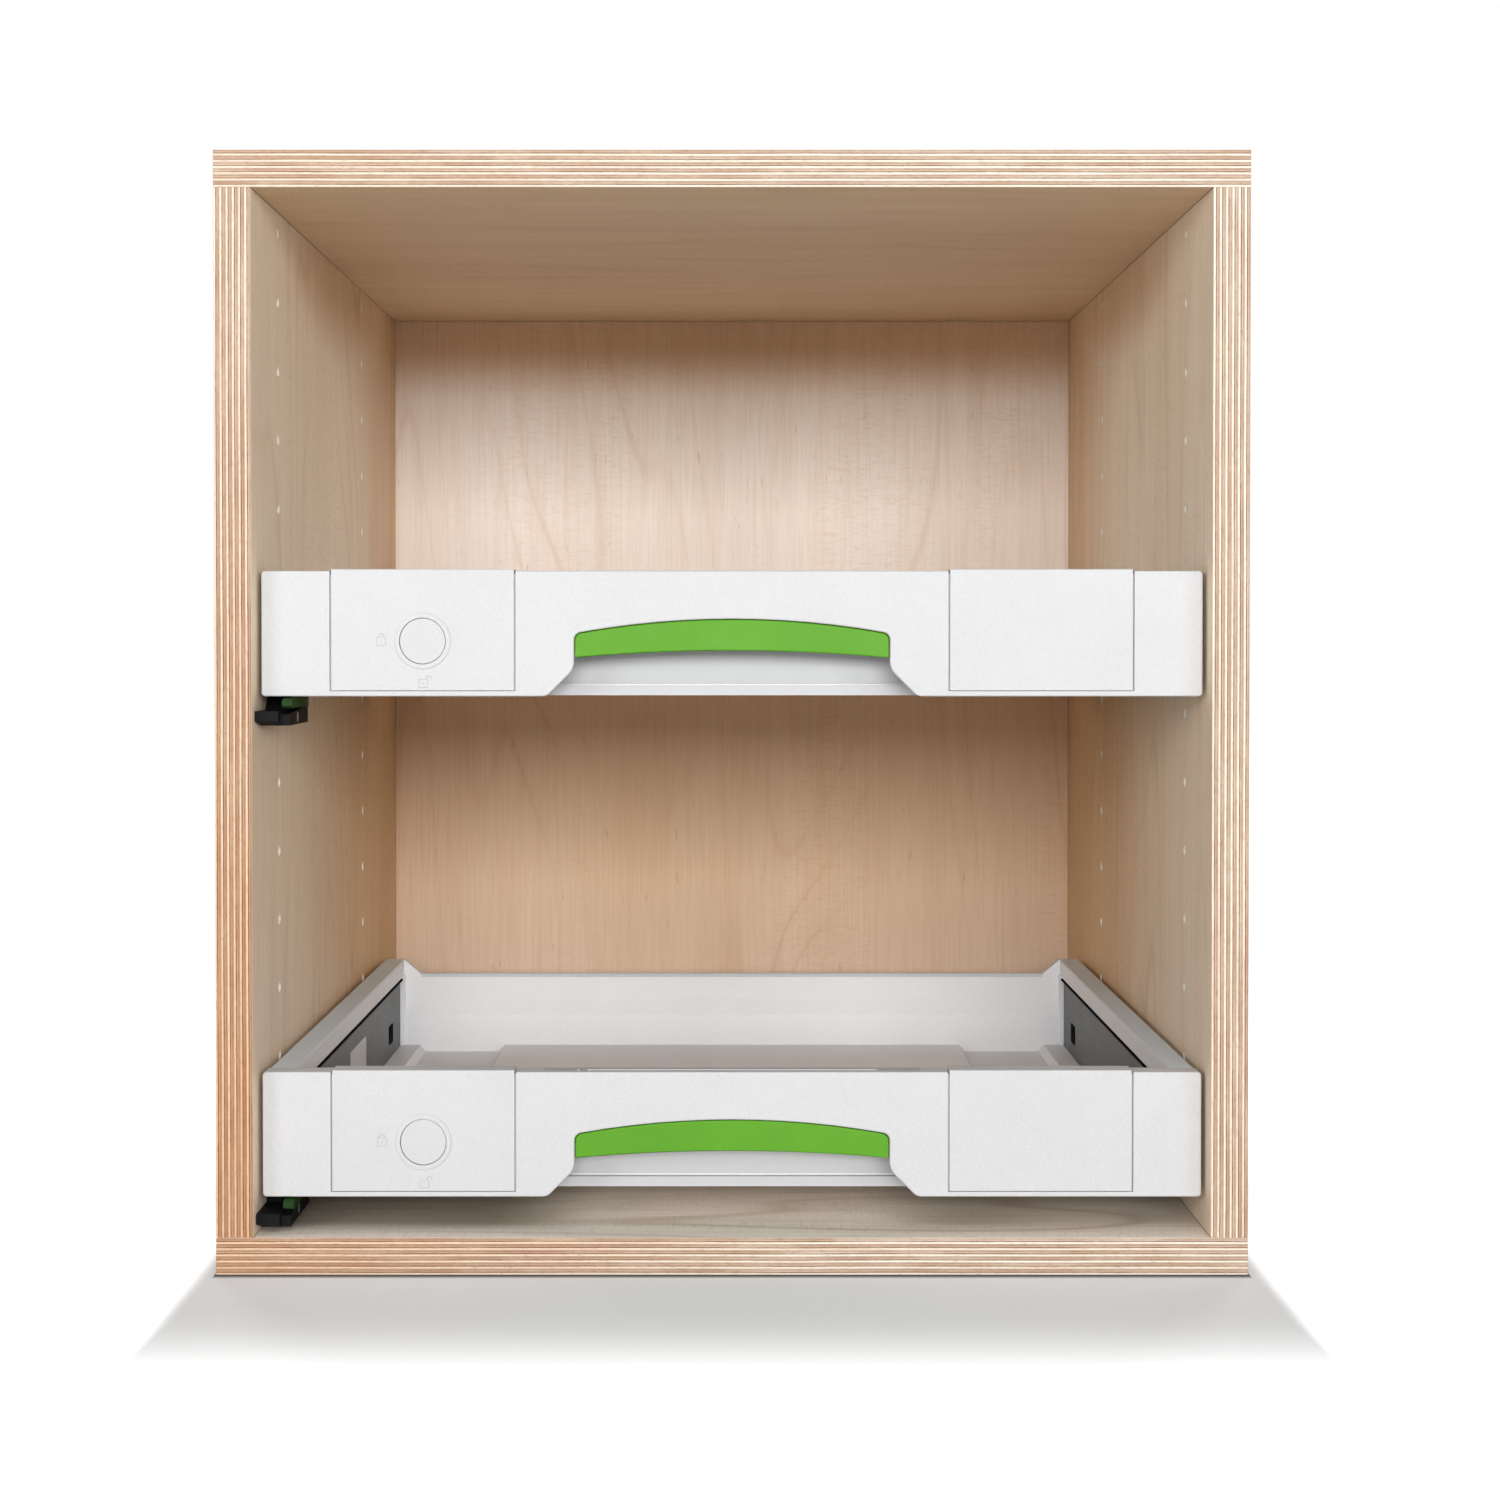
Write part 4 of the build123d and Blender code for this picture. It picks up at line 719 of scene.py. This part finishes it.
# beside the unit, the shade painted by a lowered glow is narrow at the front corners and wider behind them
SIDE_SHADE_START = 2 * MM
SIDE_SHADE_DEPTHS, SIDE_SHADE_REACHES = (50 * MM, 150 * MM), (14 * MM, 70 * MM)
# painted shadow: a thin dark line where the unit meets the floor, much narrower at its sides
CONTACT_START, CONTACT_END = 1 * MM, 6 * MM
CONTACT_LIGHT = 0.15
CONTACT_SIDES = 5.0
WORLD_FILL = 0.15
# place, target, width, height and watts
LAMPS = {
    "key": ((0.6, -6.7, 1.62), (0, 0.1, 0.25), 4.4, 1.64, 312.0),
    "high": ((0.05, -1.5, 1.4), (0.05, 0, 0.25), 1.0, 0.4, 4.5),
    "left_box": ((-1.3, -1.5, 0.6), (0.2, 0.1, 0.25), 0.6, 0.6, 9.5),
    "right_box": ((1.3, -1.5, 0.6), (-0.2, 0.1, 0.25), 0.6, 0.6, 6.5),
    "overhead": ((0.0, 0.145, 2.6), (0, 0.1, 0), 0.4, 0.31, 14.0),
    "back_left": ((-1.6, 2.4, 1.7), (0, 0, 0.25), 0.9, 0.9, 24.0),
    "back_right": ((1.6, 2.4, 1.7), (0, 0, 0.25), 0.9, 0.9, 24.0),
}
CAMERA_PLACE = (0.0, -1.144, 0.284)
CAMERA_PITCH = 90 - 0.7
CAMERA_LENS = 50.9
CAMERA_SHIFT = (0.012, -0.0603)


def unlit_share(tree):
    """One for rays from the camera and for mirrored and refracted rays, nought for the rest."""
    ray = add(tree, "ShaderNodeLightPath").outputs
    seen = math_node(tree, "ADD", ray["Is Camera Ray"], ray["Is Glossy Ray"])
    return math_node(tree, "ADD", seen, ray["Is Transmission Ray"], clamp=True)


def floor():
    """Pale floor, whose glow grows to full white away from the unit; the lower glow near it paints shade
    there, added to the lamps' real shadow, with a dark painted line at the unit's foot.
    """
    mesh = bpy.data.meshes.new("floor")
    size = FLOOR_SIZE
    corners = [(-size, -size, 0), (size, -size, 0), (size, size, 0), (-size, size, 0)]
    mesh.from_pydata(corners, [], [(0, 1, 2, 3)])
    piece = bpy.data.objects.new("floor", mesh)
    bpy.context.scene.collection.objects.link(piece)
    material, tree, shader = new_material("floor")
    shader.inputs["Roughness"].default_value = 1.0
    shader.inputs["Specular IOR Level"].default_value = 0.0
    shader.inputs["Emission Color"].default_value = (1, 1, 1, 1)
    place = object_place(tree)
    axes = split(tree, place)
    beside, before = (
        minus(tree, math_node(tree, "ABSOLUTE", axes[axis]), high_end[axis]) for axis in (X, Y)
    )
    near_depth, far_depth = (low_end[Y] + depth for depth in SIDE_SHADE_DEPTHS)
    side_reach = step(tree, axes[Y], near_depth, far_depth, *SIDE_SHADE_REACHES)
    clear = math_node(
        tree, "MAXIMUM", step(tree, beside, SIDE_SHADE_START, side_reach),
        step(tree, before, GLOW_START, GLOW_FULL),
    )
    outside = math_node(tree, "MAXIMUM", before, times(tree, beside, CONTACT_SIDES))
    painted_contact_shadow = step(tree, outside, CONTACT_START, CONTACT_END, CONTACT_LIGHT, 1.0)
    grey = ramp(tree, noise(tree, place, scale=3.0), FLOOR_GREY)
    tree.links.new(mix_colour(tree, painted_contact_shadow, (0.0, 0.0, 0.0, 1), grey), shader.inputs["Base Color"])
    glow = mix_value(tree, clear, times(tree, painted_contact_shadow, FLOOR_GLOW), 1.0)
    tree.links.new(times(tree, unlit_share(tree), glow), shader.inputs["Emission Strength"])
    mesh.materials.append(material)


def world():
    """White to the camera and in reflections, and a weak even fill for the light."""
    studio = bpy.data.worlds.new("studio")
    bpy.context.scene.world = studio
    studio.use_nodes = True
    tree = studio.node_tree
    background = tree.nodes["Background"]
    background.inputs["Color"].default_value = (1, 1, 1, 1)
    strength = mix_value(tree, unlit_share(tree), WORLD_FILL, 1.0)
    tree.links.new(strength, background.inputs["Strength"])


def softbox(name, place, target, width, height, power):
    light = bpy.data.lights.new(name, "AREA")
    light.shape = "RECTANGLE"
    light.size = width
    light.size_y = height
    light.energy = power
    lamp = bpy.data.objects.new(name, light)
    lamp.location = place
    lamp.rotation_euler = (Vector(target) - Vector(place)).to_track_quat("-Z", "Y").to_euler()
    bpy.context.scene.collection.objects.link(lamp)


def photo_camera():
    data = bpy.data.cameras.new("camera")
    data.lens = CAMERA_LENS
    data.sensor_width = 36.0
    data.shift_x, data.shift_y = CAMERA_SHIFT
    data.clip_start = 0.01
    data.clip_end = 100.0
    camera = bpy.data.objects.new("camera", data)
    camera.location = CAMERA_PLACE
    camera.rotation_euler = (math.radians(CAMERA_PITCH), 0, 0)
    bpy.context.scene.collection.objects.link(camera)
    bpy.context.scene.camera = camera


floor()
world()
for name, settings in LAMPS.items():
    softbox(name, *settings)
photo_camera()

bpy.context.scene.view_settings.view_transform = "Standard"
